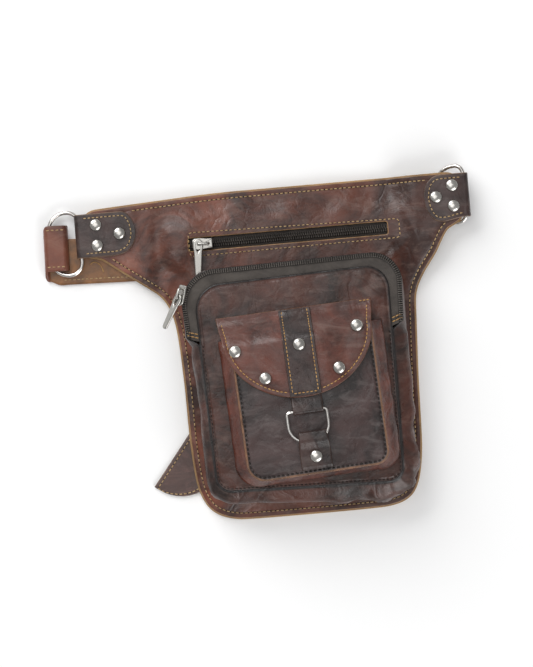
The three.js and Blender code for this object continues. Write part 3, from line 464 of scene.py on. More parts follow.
    @staticmethod
    def ripple(x: np.ndarray, y: np.ndarray) -> np.ndarray:
        """Low uneven waves of well-used leather: a sum of sines in fixed directions."""
        wave = np.zeros(np.shape(x))
        for length, turn, phase, height in RIPPLES:
            along = x * math.cos(turn) + y * math.sin(turn)
            wave = wave + height * np.sin(2 * math.pi * along / length + phase
                                          + 1.3 * np.sin(2 * math.pi * (y - x) / 117.0 + phase))
        return wave

    def pouch_front_top(self, x: np.ndarray, y: np.ndarray) -> np.ndarray:
        """Top of the pouch's front."""
        across = 2 * (x - self.pouch_x) / self.pouch_width
        along = 2 * (y - self.pouch_y) / self.pouch_height
        crown = self.pouch_crown * np.maximum(0, 1 - across ** 2) * np.maximum(0, 1 - along ** 2)
        return self.pouch_top + crown

    def on_pouch(self, x: np.ndarray, y: np.ndarray) -> np.ndarray:
        """Height of the pouch's front at a place of the pocket's frame."""
        c, s = math.cos(self.pocket_turn), math.sin(self.pocket_turn)
        return self.pouch_front_top(c * x - s * y, s * x + c * y) - self.pouch_top

    def mouth_fall(self, y: np.ndarray) -> np.ndarray:
        """How far the pocket has fallen to the pouch towards its mouth."""
        return smooth(self.pocket_y + 0.42 * self.pocket_height, self.flap_top, y)

    def pocket_top(self, x: np.ndarray, y: np.ndarray) -> np.ndarray:
        """Top of the pocket's front in the pocket's frame."""
        across = 2 * (x - self.pocket_x) / self.pocket_width
        along = 2 * (y - self.pocket_y) / self.pocket_height
        crown = self.pocket_crown * np.maximum(0, 1 - across ** 2) * np.maximum(0, 1 - along ** 2)
        return mix(self.pocket_depth + self.pouch_crown + crown, self.on_pouch(x, y), self.mouth_fall(y))

    def flap_under(self, x: np.ndarray, y: np.ndarray) -> np.ndarray:
        """Underside of the flap, raised over the closure's loop."""
        loop = 2 * self.thin + 2 * self.clearance
        ride = 1 - smooth(0.62 * self.strip_width, 1.5 * self.strip_width, np.abs(x - self.strip_x))
        return self.pocket_top(x, y) + self.soft_gap + loop * ride * (1 - self.mouth_fall(y))

    def pocket_place(self, points: np.ndarray) -> np.ndarray:
        """Points of the pocket's frame in the bag's frame."""
        c, s = math.cos(self.pocket_turn), math.sin(self.pocket_turn)
        x, y, z = points[..., 0], points[..., 1], points[..., 2]
        return np.stack([c * x - s * y, s * x + c * y, z + self.pouch_top], axis=-1)


# Soft folds of the wings: place, direction, half length, half width and height as shares
FOLDS = [
    {"x": -0.66, "y": 0.7, "turn": 84, "length": 0.26, "width": 0.04, "height": 0.9},
    {"x": -0.53, "y": 0.64, "turn": 68, "length": 0.26, "width": 0.045, "height": 0.9},
    {"x": 0.58, "y": 0.6, "turn": 104, "length": 0.24, "width": 0.045, "height": 0.8},
    {"x": 0.02, "y": 0.86, "turn": 95, "length": 0.1, "width": 0.07, "height": 0.5},
    {"x": -0.6, "y": 0.45, "turn": 75, "length": 0.2, "width": 0.02, "height": 0.35},
    {"x": -0.72, "y": 0.8, "turn": 96, "length": 0.16, "width": 0.018, "height": 0.3},
    {"x": -0.3, "y": 0.9, "turn": 20, "length": 0.22, "width": 0.02, "height": 0.25},
    {"x": 0.35, "y": 0.88, "turn": 150, "length": 0.2, "width": 0.02, "height": 0.3},
    {"x": 0.66, "y": 0.72, "turn": 110, "length": 0.18, "width": 0.018, "height": 0.35},
    {"x": -0.54, "y": -0.3, "turn": 80, "length": 0.25, "width": 0.02, "height": 0.35},
]

# Low waves: length, direction, phase and height
RIPPLES = [(61.0, 0.4, 0.3, 0.24), (37.0, 1.9, 1.1, 0.2), (23.0, 2.6, 2.0, 0.11), (15.0, 0.9, 4.0, 0.07)]

# Half outline of the body: height as a share of the half height, reaches as shares of the reaches
BODY_ROWS = np.array([
    (-1, 0.318, 0.35), (-0.988, 0.382, 0.448), (-0.965, 0.434, 0.507), (-0.927, 0.477, 0.549),
    (-0.869, 0.506, 0.577), (-0.785, 0.529, 0.598), (-0.654, 0.54, 0.615), (-0.462, 0.547, 0.621),
    (-0.231, 0.547, 0.627), (0, 0.552, 0.638), (0.138, 0.558, 0.645), (0.231, 0.566, 0.648),
    (0.292, 0.577, 0.655), (0.354, 0.595, 0.676), (0.415, 0.627, 0.708), (0.469, 0.682, 0.743),
    (0.531, 0.746, 0.785), (0.592, 0.809, 0.814), (0.646, 0.861, 0.843), (0.672, 0.89, 0.864),
    (0.683, 0.945, 0.886), (0.723, 0.955, 0.95), (0.8, 0.955, 0.95), (1, 0.955, 0.95),
])

FORM = Form()
LOW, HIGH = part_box("back_panel")
OFFSET = np.array([
    LOW[0] / MM + FORM.wing_left * FORM.reach_left + FORM.backing_edge,
    LOW[1] / MM + FORM.half_height + FORM.backing_edge, 0.0])


def body_outline(outset: float, count: int = 720) -> np.ndarray:
    """Anticlockwise outline of the body from its left end, grown by an outset."""
    y = BODY_ROWS[:, 0] * FORM.half_height
    left_x = -BODY_ROWS[:, 1] * FORM.reach_left
    right_x = BODY_ROWS[:, 2] * FORM.reach_right
    wing = np.maximum(0.0, -left_x - 0.35 * FORM.reach_left) / (0.65 * FORM.reach_left)
    drop = FORM.wing_drop * wing * smooth(0.66, 1.0, BODY_ROWS[:, 0])
    left = np.stack([left_x, y - drop], axis=1)[::-1]
    right = np.stack([right_x, y], axis=1)
    top_x = np.linspace(right_x[-1], left_x[-1], 14)[1:-1]
    top_wing = np.maximum(0.0, -top_x - 0.35 * FORM.reach_left) / (0.65 * FORM.reach_left)
    top = np.stack([top_x, FORM.half_height - FORM.wing_drop * top_wing], axis=1)
    line = resample(soften(np.vstack([left, right, top]), 3), count, closed=True)
    line = line + outward_normals(line) * outset
    start = int(np.argmin(np.hypot(line[:, 0] + 170.0, line[:, 1] - 106.0)))
    return np.roll(line, -start, axis=0)


def slot_outline(body: np.ndarray, slot: np.ndarray) -> np.ndarray:
    """Points of the slot that face the points of the body outline, one for one."""
    reach = path_lengths(np.vstack([body, body[:1]]))
    far = int(np.argmax(body[:, 0] + 0.02 * body[:, 1]))
    low = reach[:far + 1] / reach[far]
    high = (reach[far + 1:-1] - reach[far]) / (reach[-1] - reach[far])
    ring = resample(slot, 2000, closed=True)
    start = int(np.argmin(ring[:, 0] * 10 + np.abs(ring[:, 1] - slot[:, 1].mean())))
    ring = np.roll(ring, -start, axis=0)
    half = int(np.argmax(ring[:, 0] * 10 - np.abs(ring[:, 1] - slot[:, 1].mean())))
    index = np.concatenate([low * half, half + high * (len(ring) - half - 1)])
    base = np.arange(len(ring))
    return np.stack([np.interp(index, base, ring[:, k]) for k in range(2)], axis=1)


@dataclass(frozen=True)
class Finish:
    """A surface finish, made as one material."""

    name: str
    light: tuple
    dark: tuple
    roughness: float
    metallic: float = 0.0
    grain: float = 0.0
    wrinkle: float = 0.0
    weave: float = 0.0
    blotch: float = 24.0
    # Colour of the masked edge band: cut leather on most finishes, painted seam shade on the pouch and pocket wall
    # finishes.
    raw: tuple | None = None
    coat: float = 0.0
    # Pale colour laid on along long streaks: partly wear from rubbing, partly painted sheen.
    rub_and_sheen: tuple | None = None
    rub_and_sheen_amount: float = 0.5
    # Share of the blotch left at the bag's right; below 1 the tone is darker towards the right.
    right_blotch_share: float = 1.0

    def material(self) -> bpy.types.Material:
        """Builds the material, or returns the one already built."""
        label = f"look_{self.name}"
        known = bpy.data.materials.get(label)
        if known:
            return known
        made = bpy.data.materials.new(label)
        made.use_nodes = True
        tree = made.node_tree
        shader = tree.nodes["Principled BSDF"]
        shader.inputs["Metallic"].default_value = self.metallic
        shader.inputs["Coat Weight"].default_value = self.coat
        shader.inputs["Coat Roughness"].default_value = 0.22
        shader.inputs["Specular IOR Level"].default_value = 0.5 if self.metallic else 0.4
        place = tree.nodes.new("ShaderNodeTexCoord")
        wear_and_sheen_node = tree.nodes.new("ShaderNodeGroup")
        wear_and_sheen_node.node_tree = wear_and_sheen_group()
        wear_and_sheen_node.inputs["Scale"].default_value = self.blotch
        tree.links.new(place.outputs["Object"], wear_and_sheen_node.inputs["Place"])
        colour = tree.nodes.new("ShaderNodeMix")
        colour.data_type = "RGBA"
        colour.inputs[6].default_value = (*self.dark, 1)
        colour.inputs[7].default_value = (*self.light, 1)
        blotch = wear_and_sheen_node.outputs["Blotch"]
        if self.right_blotch_share < 1.0:
            blotch = self.blotch_toward_right(tree, place, blotch)
        tree.links.new(blotch, colour.inputs[0])
        out = colour.outputs[2]
        # Pale streaks mixed into the colour: partly wear from rubbing, partly painted sheen.
        if self.rub_and_sheen:
            share = tree.nodes.new("ShaderNodeMath")
            share.operation = "MULTIPLY"
            share.inputs[1].default_value = self.rub_and_sheen_amount
            tree.links.new(wear_and_sheen_node.outputs["ScuffAndSheen"], share.inputs[0])
            pale = tree.nodes.new("ShaderNodeMix")
            pale.data_type = "RGBA"
            pale.inputs[7].default_value = (*self.rub_and_sheen, 1)
            tree.links.new(share.outputs[0], pale.inputs[0])
            tree.links.new(out, pale.inputs[6])
            out = pale.outputs[2]
        # Edge band colour: cut leather for most finishes; for the pouch and pocket wall finishes a near-black painted
        # seam shade.
        if self.raw:
            edge = tree.nodes.new("ShaderNodeAttribute")
            edge.attribute_name = "raw"
            cut = tree.nodes.new("ShaderNodeMix")
            cut.data_type = "RGBA"
            cut.inputs[6].default_value = (*(0.6 * np.array(self.raw)), 1)
            cut.inputs[7].default_value = (*(1.25 * np.array(self.raw)), 1)
            tree.links.new(wear_and_sheen_node.outputs["Streak"], cut.inputs[0])
            tint = tree.nodes.new("ShaderNodeMix")
            tint.data_type = "RGBA"
            tree.links.new(cut.outputs[2], tint.inputs[7])
            tree.links.new(edge.outputs["Fac"], tint.inputs[0])
            tree.links.new(out, tint.inputs[6])
            out = tint.outputs[2]
        tree.links.new(out, shader.inputs["Base Color"])
        rough = tree.nodes.new("ShaderNodeMapRange")
        rough.inputs["To Min"].default_value = max(0.05, self.roughness - 0.1 * (1 - self.metallic))
        rough.inputs["To Max"].default_value = self.roughness + 0.1 * (1 - self.metallic)
        tree.links.new(wear_and_sheen_node.outputs["Streak"], rough.inputs["Value"])
        tree.links.new(rough.outputs["Result"], shader.inputs["Roughness"])
        self.relief(tree, place, shader)
        return made

    def blotch_toward_right(self, tree: bpy.types.NodeTree, place: bpy.types.Node, blotch) -> bpy.types.NodeSocket:
        """Blotches that weaken from the left of the bag to its right, so the tone is darker towards the right."""
        axes = tree.nodes.new("ShaderNodeSeparateXYZ")
        tree.links.new(place.outputs["Object"], axes.inputs[0])
        fall = tree.nodes.new("ShaderNodeMapRange")
        for socket, value in (("From Min", -0.11), ("From Max", 0.13), ("To Min", 1.0), ("To Max", self.right_blotch_share)):
            fall.inputs[socket].default_value = value
        tree.links.new(axes.outputs["X"], fall.inputs["Value"])
        both = tree.nodes.new("ShaderNodeMath")
        both.operation = "MULTIPLY"
        tree.links.new(blotch, both.inputs[0])
        tree.links.new(fall.outputs["Result"], both.inputs[1])
        return both.outputs[0]

    def relief(self, tree: bpy.types.NodeTree, place: bpy.types.Node, shader: bpy.types.Node) -> None:
        """Adds the grain, the wrinkles and the weave as bumps, one after another."""
        layers = []
        if self.wrinkle:
            layers.append((wrinkle_group(), self.wrinkle, 0.0016))
        if self.grain:
            layers.append((grain_group(), self.grain, 0.0004))
        if self.weave:
            layers.append((weave_group(), self.weave, 0.0003))
        normal = None
        for group, strength, distance in layers:
            pattern = tree.nodes.new("ShaderNodeGroup")
            pattern.node_tree = group
            tree.links.new(place.outputs["Object"], pattern.inputs["Place"])
            bump = tree.nodes.new("ShaderNodeBump")
            bump.inputs["Strength"].default_value = strength
            bump.inputs["Distance"].default_value = distance
            tree.links.new(pattern.outputs["Height"], bump.inputs["Height"])
            if normal is not None:
                tree.links.new(normal, bump.inputs["Normal"])
            normal = bump.outputs["Normal"]
        if normal is not None:
            tree.links.new(normal, shader.inputs["Normal"])


def new_group(name: str, inputs: Sequence[tuple], outputs: Sequence[str]) -> tuple:
    """Node group with its sockets; returns the tree, its input node and its output node."""
    tree = bpy.data.node_groups.new(name, "ShaderNodeTree")
    for label, kind in inputs:
        tree.interface.new_socket(name=label, in_out="INPUT", socket_type=kind)
    for label in outputs:
        tree.interface.new_socket(name=label, in_out="OUTPUT", socket_type="NodeSocketFloat")
    return tree, tree.nodes.new("NodeGroupInput"), tree.nodes.new("NodeGroupOutput")


def noise(tree: bpy.types.NodeTree, place, scale: float, detail: float, distortion: float = 0.0,
          roughness: float = 0.5):
    """Noise texture on a place socket."""
    node = tree.nodes.new("ShaderNodeTexNoise")
    node.inputs["Scale"].default_value = scale
    node.inputs["Detail"].default_value = detail
    node.inputs["Distortion"].default_value = distortion
    node.inputs["Roughness"].default_value = roughness
    tree.links.new(place, node.inputs["Vector"])
    return node


def contrast(tree: bpy.types.NodeTree, value, low: float, high: float):
    """Value spread so that low becomes 0 and high becomes 1."""
    node = tree.nodes.new("ShaderNodeMapRange")
    node.inputs["From Min"].default_value = low
    node.inputs["From Max"].default_value = high
    tree.links.new(value, node.inputs["Value"])
    return node.outputs["Result"]


def wear_and_sheen_group() -> bpy.types.NodeTree:
    """Blotches of tone, fine streaks, and long pale streaks that are partly wear from rubbing and partly painted sheen.
    """
    known = bpy.data.node_groups.get("wear_and_sheen")
    if known:
        return known
    tree, inside, out = new_group("wear_and_sheen", [("Place", "NodeSocketVector"), ("Scale", "NodeSocketFloat")],
                                  ["Blotch", "Streak", "ScuffAndSheen"])
    broad = noise(tree, inside.outputs["Place"], 24.0, 8.0, 0.8, 0.62)
    tree.links.new(inside.outputs["Scale"], broad.inputs["Scale"])
    tree.links.new(contrast(tree, broad.outputs["Fac"], 0.38, 0.64), out.inputs["Blotch"])
    fine = noise(tree, inside.outputs["Place"], 130.0, 5.0, 0.4)
    tree.links.new(contrast(tree, fine.outputs["Fac"], 0.3, 0.7), out.inputs["Streak"])
    stretch = tree.nodes.new("ShaderNodeMapping")
    stretch.inputs["Scale"].default_value = (0.4, 1.0, 1.0)
    stretch.inputs["Rotation"].default_value = (0.0, 0.0, 0.35)
    tree.links.new(inside.outputs["Place"], stretch.inputs["Vector"])
    long = noise(tree, stretch.outputs["Vector"], 110.0, 10.0, 0.9, 0.68)
    tree.links.new(contrast(tree, long.outputs["Fac"], 0.5, 0.74), out.inputs["ScuffAndSheen"])
    return tree


def wrinkle_group() -> bpy.types.NodeTree:
    """Shallow creases of soft leather: ridges where distorted noise crosses its middle."""
    known = bpy.data.node_groups.get("wrinkle")
    if known:
        return known
    tree, inside, out = new_group("wrinkle", [("Place", "NodeSocketVector")], ["Height"])
    layers = []
    for scale, detail, distortion, width, share in ((22.0, 2.0, 1.1, 0.07, 0.6), (64.0, 3.0, 0.8, 0.09, 0.3),
                                                    (170.0, 2.0, 0.5, 0.12, 0.1)):
        field = noise(tree, inside.outputs["Place"], scale, detail, distortion)
        fold = tree.nodes.new("ShaderNodeMath")
        fold.operation = "SUBTRACT"
        fold.inputs[1].default_value = 0.5
        tree.links.new(field.outputs["Fac"], fold.inputs[0])
        ridge = tree.nodes.new("ShaderNodeMath")
        ridge.operation = "ABSOLUTE"
        tree.links.new(fold.outputs[0], ridge.inputs[0])
        part = tree.nodes.new("ShaderNodeMath")
        part.operation = "MULTIPLY_ADD"
        part.inputs[1].default_value = share
        tree.links.new(contrast(tree, ridge.outputs[0], 0.0, width), part.inputs[0])
        if layers:
            tree.links.new(layers[-1], part.inputs[2])
        else:
            part.inputs[2].default_value = 0.0
        layers.append(part.outputs[0])
    tree.links.new(layers[-1], out.inputs["Height"])
    return tree


def grain_group() -> bpy.types.NodeTree:
    """Fine pebbled grain."""
    known = bpy.data.node_groups.get("grain")
    if known:
        return known
    tree, inside, out = new_group("grain", [("Place", "NodeSocketVector")], ["Height"])
    fine = noise(tree, inside.outputs["Place"], 1100.0, 4.0, 0.2)
    tree.links.new(fine.outputs["Fac"], out.inputs["Height"])
    return tree


def weave_group() -> bpy.types.NodeTree:
    """Fine ribs of a woven tape, as crossed waves."""
    known = bpy.data.node_groups.get("weave")
    if known:
        return known
    tree, inside, out = new_group("weave", [("Place", "NodeSocketVector")], ["Height"])
    ribs = []
    for direction in ("X", "Y"):
        wave = tree.nodes.new("ShaderNodeTexWave")
        wave.bands_direction = direction
        wave.inputs["Scale"].default_value = 420.0
        wave.inputs["Distortion"].default_value = 0.4
        tree.links.new(inside.outputs["Place"], wave.inputs["Vector"])
        ribs.append(wave.outputs["Fac"])
    both = tree.nodes.new("ShaderNodeMath")
    both.operation = "MULTIPLY"
    tree.links.new(ribs[0], both.inputs[0])
    tree.links.new(ribs[1], both.inputs[1])
    tree.links.new(both.outputs[0], out.inputs["Height"])
    return tree


BROWN = Finish("brown_leather", (0.2, 0.062, 0.036), (0.033, 0.0155, 0.0125), 0.36, grain=0.3, wrinkle=0.22,
               raw=(0.3, 0.17, 0.08), coat=0.12, rub_and_sheen=(0.21, 0.14, 0.115), rub_and_sheen_amount=0.45, right_blotch_share=0.3)
FLAP = Finish("flap_leather", (0.13, 0.042, 0.029), (0.055, 0.023, 0.018), 0.38, grain=0.3, wrinkle=0.17,
              raw=(0.13, 0.055, 0.026), coat=0.12, blotch=34.0, rub_and_sheen=(0.2, 0.135, 0.115), rub_and_sheen_amount=0.45)
# Its near-black edge colour is painted shadow under the pocket, at the wall's foot.
WALL = Finish("wall_leather", (0.13, 0.034, 0.02), (0.035, 0.012, 0.009), 0.36, grain=0.3, wrinkle=0.3,
              raw=(0.009, 0.005, 0.004), coat=0.12, blotch=34.0, rub_and_sheen=(0.2, 0.11, 0.08), rub_and_sheen_amount=0.35)
DARK = Finish("dark_leather", (0.058, 0.033, 0.029), (0.016, 0.011, 0.0105), 0.36, grain=0.35, wrinkle=0.2,
              raw=(0.045, 0.022, 0.014), coat=0.12, rub_and_sheen=(0.14, 0.11, 0.1), rub_and_sheen_amount=0.42)
TAB = Finish("tab_leather", (0.062, 0.036, 0.032), (0.018, 0.012, 0.011), 0.36, grain=0.35, wrinkle=0.2,
             raw=(0.17, 0.1, 0.06), coat=0.12, rub_and_sheen=(0.14, 0.11, 0.1), rub_and_sheen_amount=0.42)
POCKET = Finish("pocket_leather", (0.055, 0.031, 0.029), (0.015, 0.0115, 0.011), 0.34, grain=0.3, wrinkle=0.18,
                raw=(0.17, 0.085, 0.045), coat=0.12, rub_and_sheen=(0.145, 0.12, 0.115), rub_and_sheen_amount=0.5)
# Its near-black edge colour is painted shade along the pouch's seams.
POUCH = Finish("pouch_leather", (0.08, 0.0265, 0.0175), (0.02, 0.0118, 0.0098), 0.35, grain=0.3, wrinkle=0.26,
               raw=(0.009, 0.0055, 0.005), coat=0.12, rub_and_sheen=(0.175, 0.115, 0.095), rub_and_sheen_amount=0.42)
RAW = Finish("raw_leather", (0.4, 0.25, 0.12), (0.24, 0.145, 0.068), 0.85, grain=0.6)
STRAP = Finish("strap_leather", (0.16, 0.052, 0.03), (0.075, 0.026, 0.018), 0.38, grain=0.3, wrinkle=0.14,
               raw=(0.21, 0.095, 0.036), coat=0.12, rub_and_sheen=(0.25, 0.14, 0.1), rub_and_sheen_amount=0.45)
BELT = Finish("belt_leather", (0.1, 0.055, 0.046), (0.055, 0.033, 0.029), 0.38, grain=0.3, wrinkle=0.14,
              raw=(0.2, 0.12, 0.06), coat=0.12, rub_and_sheen=(0.25, 0.13, 0.115), rub_and_sheen_amount=0.4)
TAPE = Finish("zip_tape", (0.085, 0.073, 0.064), (0.055, 0.047, 0.042), 0.85, weave=0.8, blotch=60.0,
              raw=(0.02, 0.017, 0.015))
TEETH = Finish("zip_teeth", (0.17, 0.15, 0.135), (0.1, 0.088, 0.078), 0.3)
OCHRE = Finish("ochre_thread", (0.54, 0.32, 0.12), (0.34, 0.18, 0.06), 0.7, blotch=300.0)
TAN_THREAD = Finish("tan_thread", (0.5, 0.35, 0.18), (0.3, 0.19, 0.085), 0.7, blotch=300.0)
# Dark thread for some stitches; the same dark colour is the painted shade of needle holes.
DARK_THREAD_AND_HOLE_SHADE = Finish("dark_thread_and_hole_shade", (0.016, 0.0095, 0.0075), (0.008, 0.006, 0.005), 0.7, blotch=300.0)
NICKEL = Finish("nickel", (0.72, 0.7, 0.67), (0.6, 0.57, 0.54), 0.16, metallic=1.0)
CAP = Finish("cap_metal", (0.66, 0.64, 0.6), (0.5, 0.48, 0.45), 0.25, metallic=1.0)
SATIN = Finish("satin_metal", (0.5, 0.49, 0.46), (0.4, 0.385, 0.36), 0.3, metallic=1.0)


def piece(name: str, shell: Shell, finish: Finish, nodes: Sequence[str] = (),
          body: Body = Body.BAG, flat: bool = False) -> bpy.types.Object:
    """Makes one object from a shell in bag millimetres and ties it to the solid model.

    Args:
        name: object name.
        shell: points, faces and mask.
        finish: surface finish.
        nodes: solid nodes that the piece stands for.
        body: body that the piece moves with.
        flat: whether its faces stay flat shaded.
    """
    points = (shell.points + OFFSET) * MM
    sizes = np.array([len(face) for face in shell.faces])
    corners = np.concatenate([np.asarray(face) for face in shell.faces])
    first = np.concatenate([[0], np.cumsum(sizes)[:-1]])
    a, b = points[corners], points[np.roll(corners, -1)]
    last = first + sizes - 1
    b[last] = points[corners[first]]
    centre = np.add.reduceat(a, first) / sizes[:, None]
    area = np.add.reduceat(np.cross(a, b), first) / 2
    if float(np.sum(area * centre)) < 0:
        reverse = np.repeat(first + last, sizes) - np.arange(len(corners))
        corners = corners[reverse]
    mesh = bpy.data.meshes.new(name)
    mesh.vertices.add(len(points))
    mesh.vertices.foreach_set("co", points.ravel())
    mesh.loops.add(len(corners))
    mesh.loops.foreach_set("vertex_index", corners.astype(np.int32))
    mesh.polygons.add(len(sizes))
    mesh.polygons.foreach_set("loop_start", first.astype(np.int32))
    mesh.polygons.foreach_set("use_smooth", np.full(len(sizes), not flat))
    if shell.mask is not None:
        layer = mesh.attributes.new("raw", "FLOAT", "POINT")
        layer.data.foreach_set("value", shell.mask.astype(np.float32))
    mesh.update(calc_edges=True)
    mesh.validate()
    mesh.materials.append(finish.material())
    made = bpy.data.objects.new(name, mesh)
    bpy.context.scene.collection.objects.link(made)
    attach(made, body.value)
    if nodes:
        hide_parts(*nodes)
    LOG.info("%s: %d points, %d faces", name, len(points), len(sizes))
    return made


def stitch_row(points: np.ndarray, up: np.ndarray, pitch: float = 3.6, length: float = 2.7,
               radius: float = 0.42, phase: float = 0.0) -> Shell:
    """Row of stitches along a line: each a short capsule whose ends dip into the leather.

    Args:
        points: line on the leather's surface.
        up: outward direction at each point, or one for all.
        pitch: distance between stitches.
        length: length of one stitch.
        radius: thread radius.
        phase: shift along the line as a share of the pitch.
    """
    reach = path_lengths(points)
    number = max(2, int(reach[-1] / pitch))
    at = (np.arange(number - (phase > 0)) + 0.5 + phase) * reach[-1] / number
    centre = np.stack([np.interp(at, reach, points[:, k]) for k in range(3)], axis=1)
    along_all = tangents(points)
    along = np.stack([np.interp(at, reach, along_all[:, k]) for k in range(3)], axis=1)
    along /= np.linalg.norm(along, axis=1, keepdims=True)
    up_all = np.broadcast_to(up, points.shape)
    lift = np.stack([np.interp(at, reach, up_all[:, k]) for k in range(3)], axis=1)
    side = np.cross(lift, along)
    side /= np.linalg.norm(side, axis=1, keepdims=True)
    lift = np.cross(along, side)
    u = np.array([-1.0, -0.82, -0.4, 0.0, 0.4, 0.82, 1.0])
    fat = radius * np.array([0.35, 0.8, 1.0, 1.05, 1.0, 0.8, 0.35])
    rise = radius * np.array([-0.9, -0.1, 0.45, 0.55, 0.45, -0.1, -0.9])
    turn = np.linspace(0, 2 * np.pi, 6, endpoint=False)
    shape = np.stack([
        np.repeat(u * length / 2, 6),
        (fat[:, None] * np.cos(turn)[None, :]).ravel(),
        (rise[:, None] + fat[:, None] * np.sin(turn)[None, :]).ravel()], axis=1)
    lean = 0.1 * np.sin(np.arange(len(at)) * 2.4)[:, None]
    along = along + side * lean
    world = (centre[:, None, :] + along[:, None, :] * shape[None, :, 0:1]
             + side[:, None, :] * shape[None, :, 1:2] + lift[:, None, :] * shape[None, :, 2:3])
    local = grid_faces(7, 6, False)
    count = len(shape)
    starts = (np.arange(len(at)) * count)[:, None, None]
    quads = (local[None] + starts).reshape(-1, 4).tolist()
    caps = np.array([list(range(6)), list(range(count - 1, count - 7, -1))])
    quads += (caps[None] + starts).reshape(-1, 6).tolist()
    return Shell(world.reshape(-1, 3), quads, np.zeros(world.shape[0] * world.shape[1]))


def painted_hole_shade(points: np.ndarray, up: np.ndarray, pitch: float = 3.6, radius: float = 0.42) -> Shell:
    """Painted shade of the needle holes: dark dots between the stitches of a row with the same pitch."""
    return stitch_row(points - np.broadcast_to(up, points.shape) * radius * 0.35, up, pitch, pitch * 0.42,
                      radius * 0.95, 0.5)


@dataclass
class Panels:
    """The body: backing, front panel with its slot, and the threads along their edges."""

    form: Form = FORM
    slot: tuple = (-83.0, 76.0, 86.2, 96.3)
    stitch_inset: float = 4.0

    def build(self) -> None:
        """Makes the backing, the front panel and their stitches."""
        f = self.form
        back = body_outline(f.backing_edge - 0.1)
        core = core_of(back, (0.0, 80.0))
        piece("Backing", Sheet(back, core, f.leather, f.backing_under, rings=30, groove=0.0).build(),
              RAW, ["back_panel"])
        front = body_outline(0.0)
        x0, x1, y0, y1 = self.slot
        corners = np.array([(x0, y0, 1.5), (x1, y0, 1.5), (x1, y1, 1.5), (x0, y1, 1.5)])
        slot = slot_outline(front, rounded_outline(corners, 4, 30))
        panel = Sheet(front, slot, f.leather, f.panel_under, rings=38, inner_edge=True, raw_inner=0.7).build()
        piece("FrontPanel", panel, BROWN, ["front_panel"])
        line = front - outward_normals(front) * self.stitch_inset
        ring = np.vstack([line, line[:1]])
        shown = ~((ring[:, 0] < -127) & (ring[:, 1] > 86)) & ~((ring[:, 0] > 110) & (ring[:, 1] > 92))
        lines = [self.line(part) for part in split_runs(ring, shown)]
        box = np.array([(x0 + 0.6, y0 - 4.2, 3), (x1 + 9.5, y0 - 3.4, 3), (x1 + 9.5, y1 + 1.5, 3), (x0 + 0.4, y1 + 4.6, 3)])
        border = rounded_outline(box, 3, 60)
        lines.append(self.line(np.vstack([border, border[:1]])))
        piece("PanelStitches", joined([stitch_row(line, Z_UP) for line in lines]), TAN_THREAD)
        piece("PanelHoleShade", joined([painted_hole_shade(line, Z_UP) for line in lines]), DARK_THREAD_AND_HOLE_SHADE)

    def line(self, flat: np.ndarray) -> np.ndarray:
        """A flat line laid on the front panel."""
        z = self.form.panel_top(flat[:, 0], flat[:, 1]) - 0.22
        return np.column_stack([flat, z])


def split_runs(points: np.ndarray, shown: np.ndarray) -> list:
    """Runs of neighbouring points that are shown."""
    change = np.flatnonzero(np.diff(shown.astype(int))) + 1
    return [points[run] for run in np.split(np.arange(len(points)), change) if shown[run[0]] and len(run) > 4]


@dataclass
class Slider:
    """Zip slider with its bridge, in a frame with x along the zip and z out of it."""

    length: float = 16.0
    width: float = 9.6
    height: float = 2.4
    wire: float = 1.8

    def shell(self) -> Shell:
        """Shield-shaped plate with a rounded top and an arched bridge."""
        l, w = self.length / 2, self.width / 2
        half = np.array([(-l, 0.45), (-l * 0.97, 0.68), (-l * 0.8, 0.93), (-l * 0.5, 1.0), (0, 0.97), (l * 0.4, 0.86),
                         (l * 0.75, 0.8), (l * 0.96, 0.84), (l, 0.7)])
        up = np.stack([half[:, 0], half[:, 1] * w], axis=1)
        outline = np.vstack([up * [1, -1], up[::-1]])
        outline = resample(soften(outline, 2), 160, closed=True)
        plate = Sheet(outline, core_of(outline, (0.0, 0.0), 0.05), self.height, lambda x, y: np.zeros(np.shape(x)),
                      rings=8, round=0.7, groove=0.0, steps=np.array([0, 0.1, 0.3, 0.5, 0.7, 1.0])).build()
        plate.mask = None
        post, span = -self.length * 0.22, self.length * 0.56
        top = 2.8 + self.wire * 0.3
        line = np.array([(post, 0, 1.4), (post, 0, self.height + top * 0.6), (post + 0.6, 0, self.height + top * 0.93),
                         (post + 2.0, 0, self.height + top), (post + span * 0.6, 0, self.height + top * 0.97),
                         (post + span * 0.86, 0, self.height + top * 0.8), (post + span - 0.5, 0, self.height + 0.8),
                         (post + span - 0.5, 0, 1.4)])
        bridge = tube(catmull(line, 8), self.wire * 0.5, np.array([0.0, 1.0, 0.0]), closed=False, sides=12, squash=1.35)
        return joined([plate, bridge])


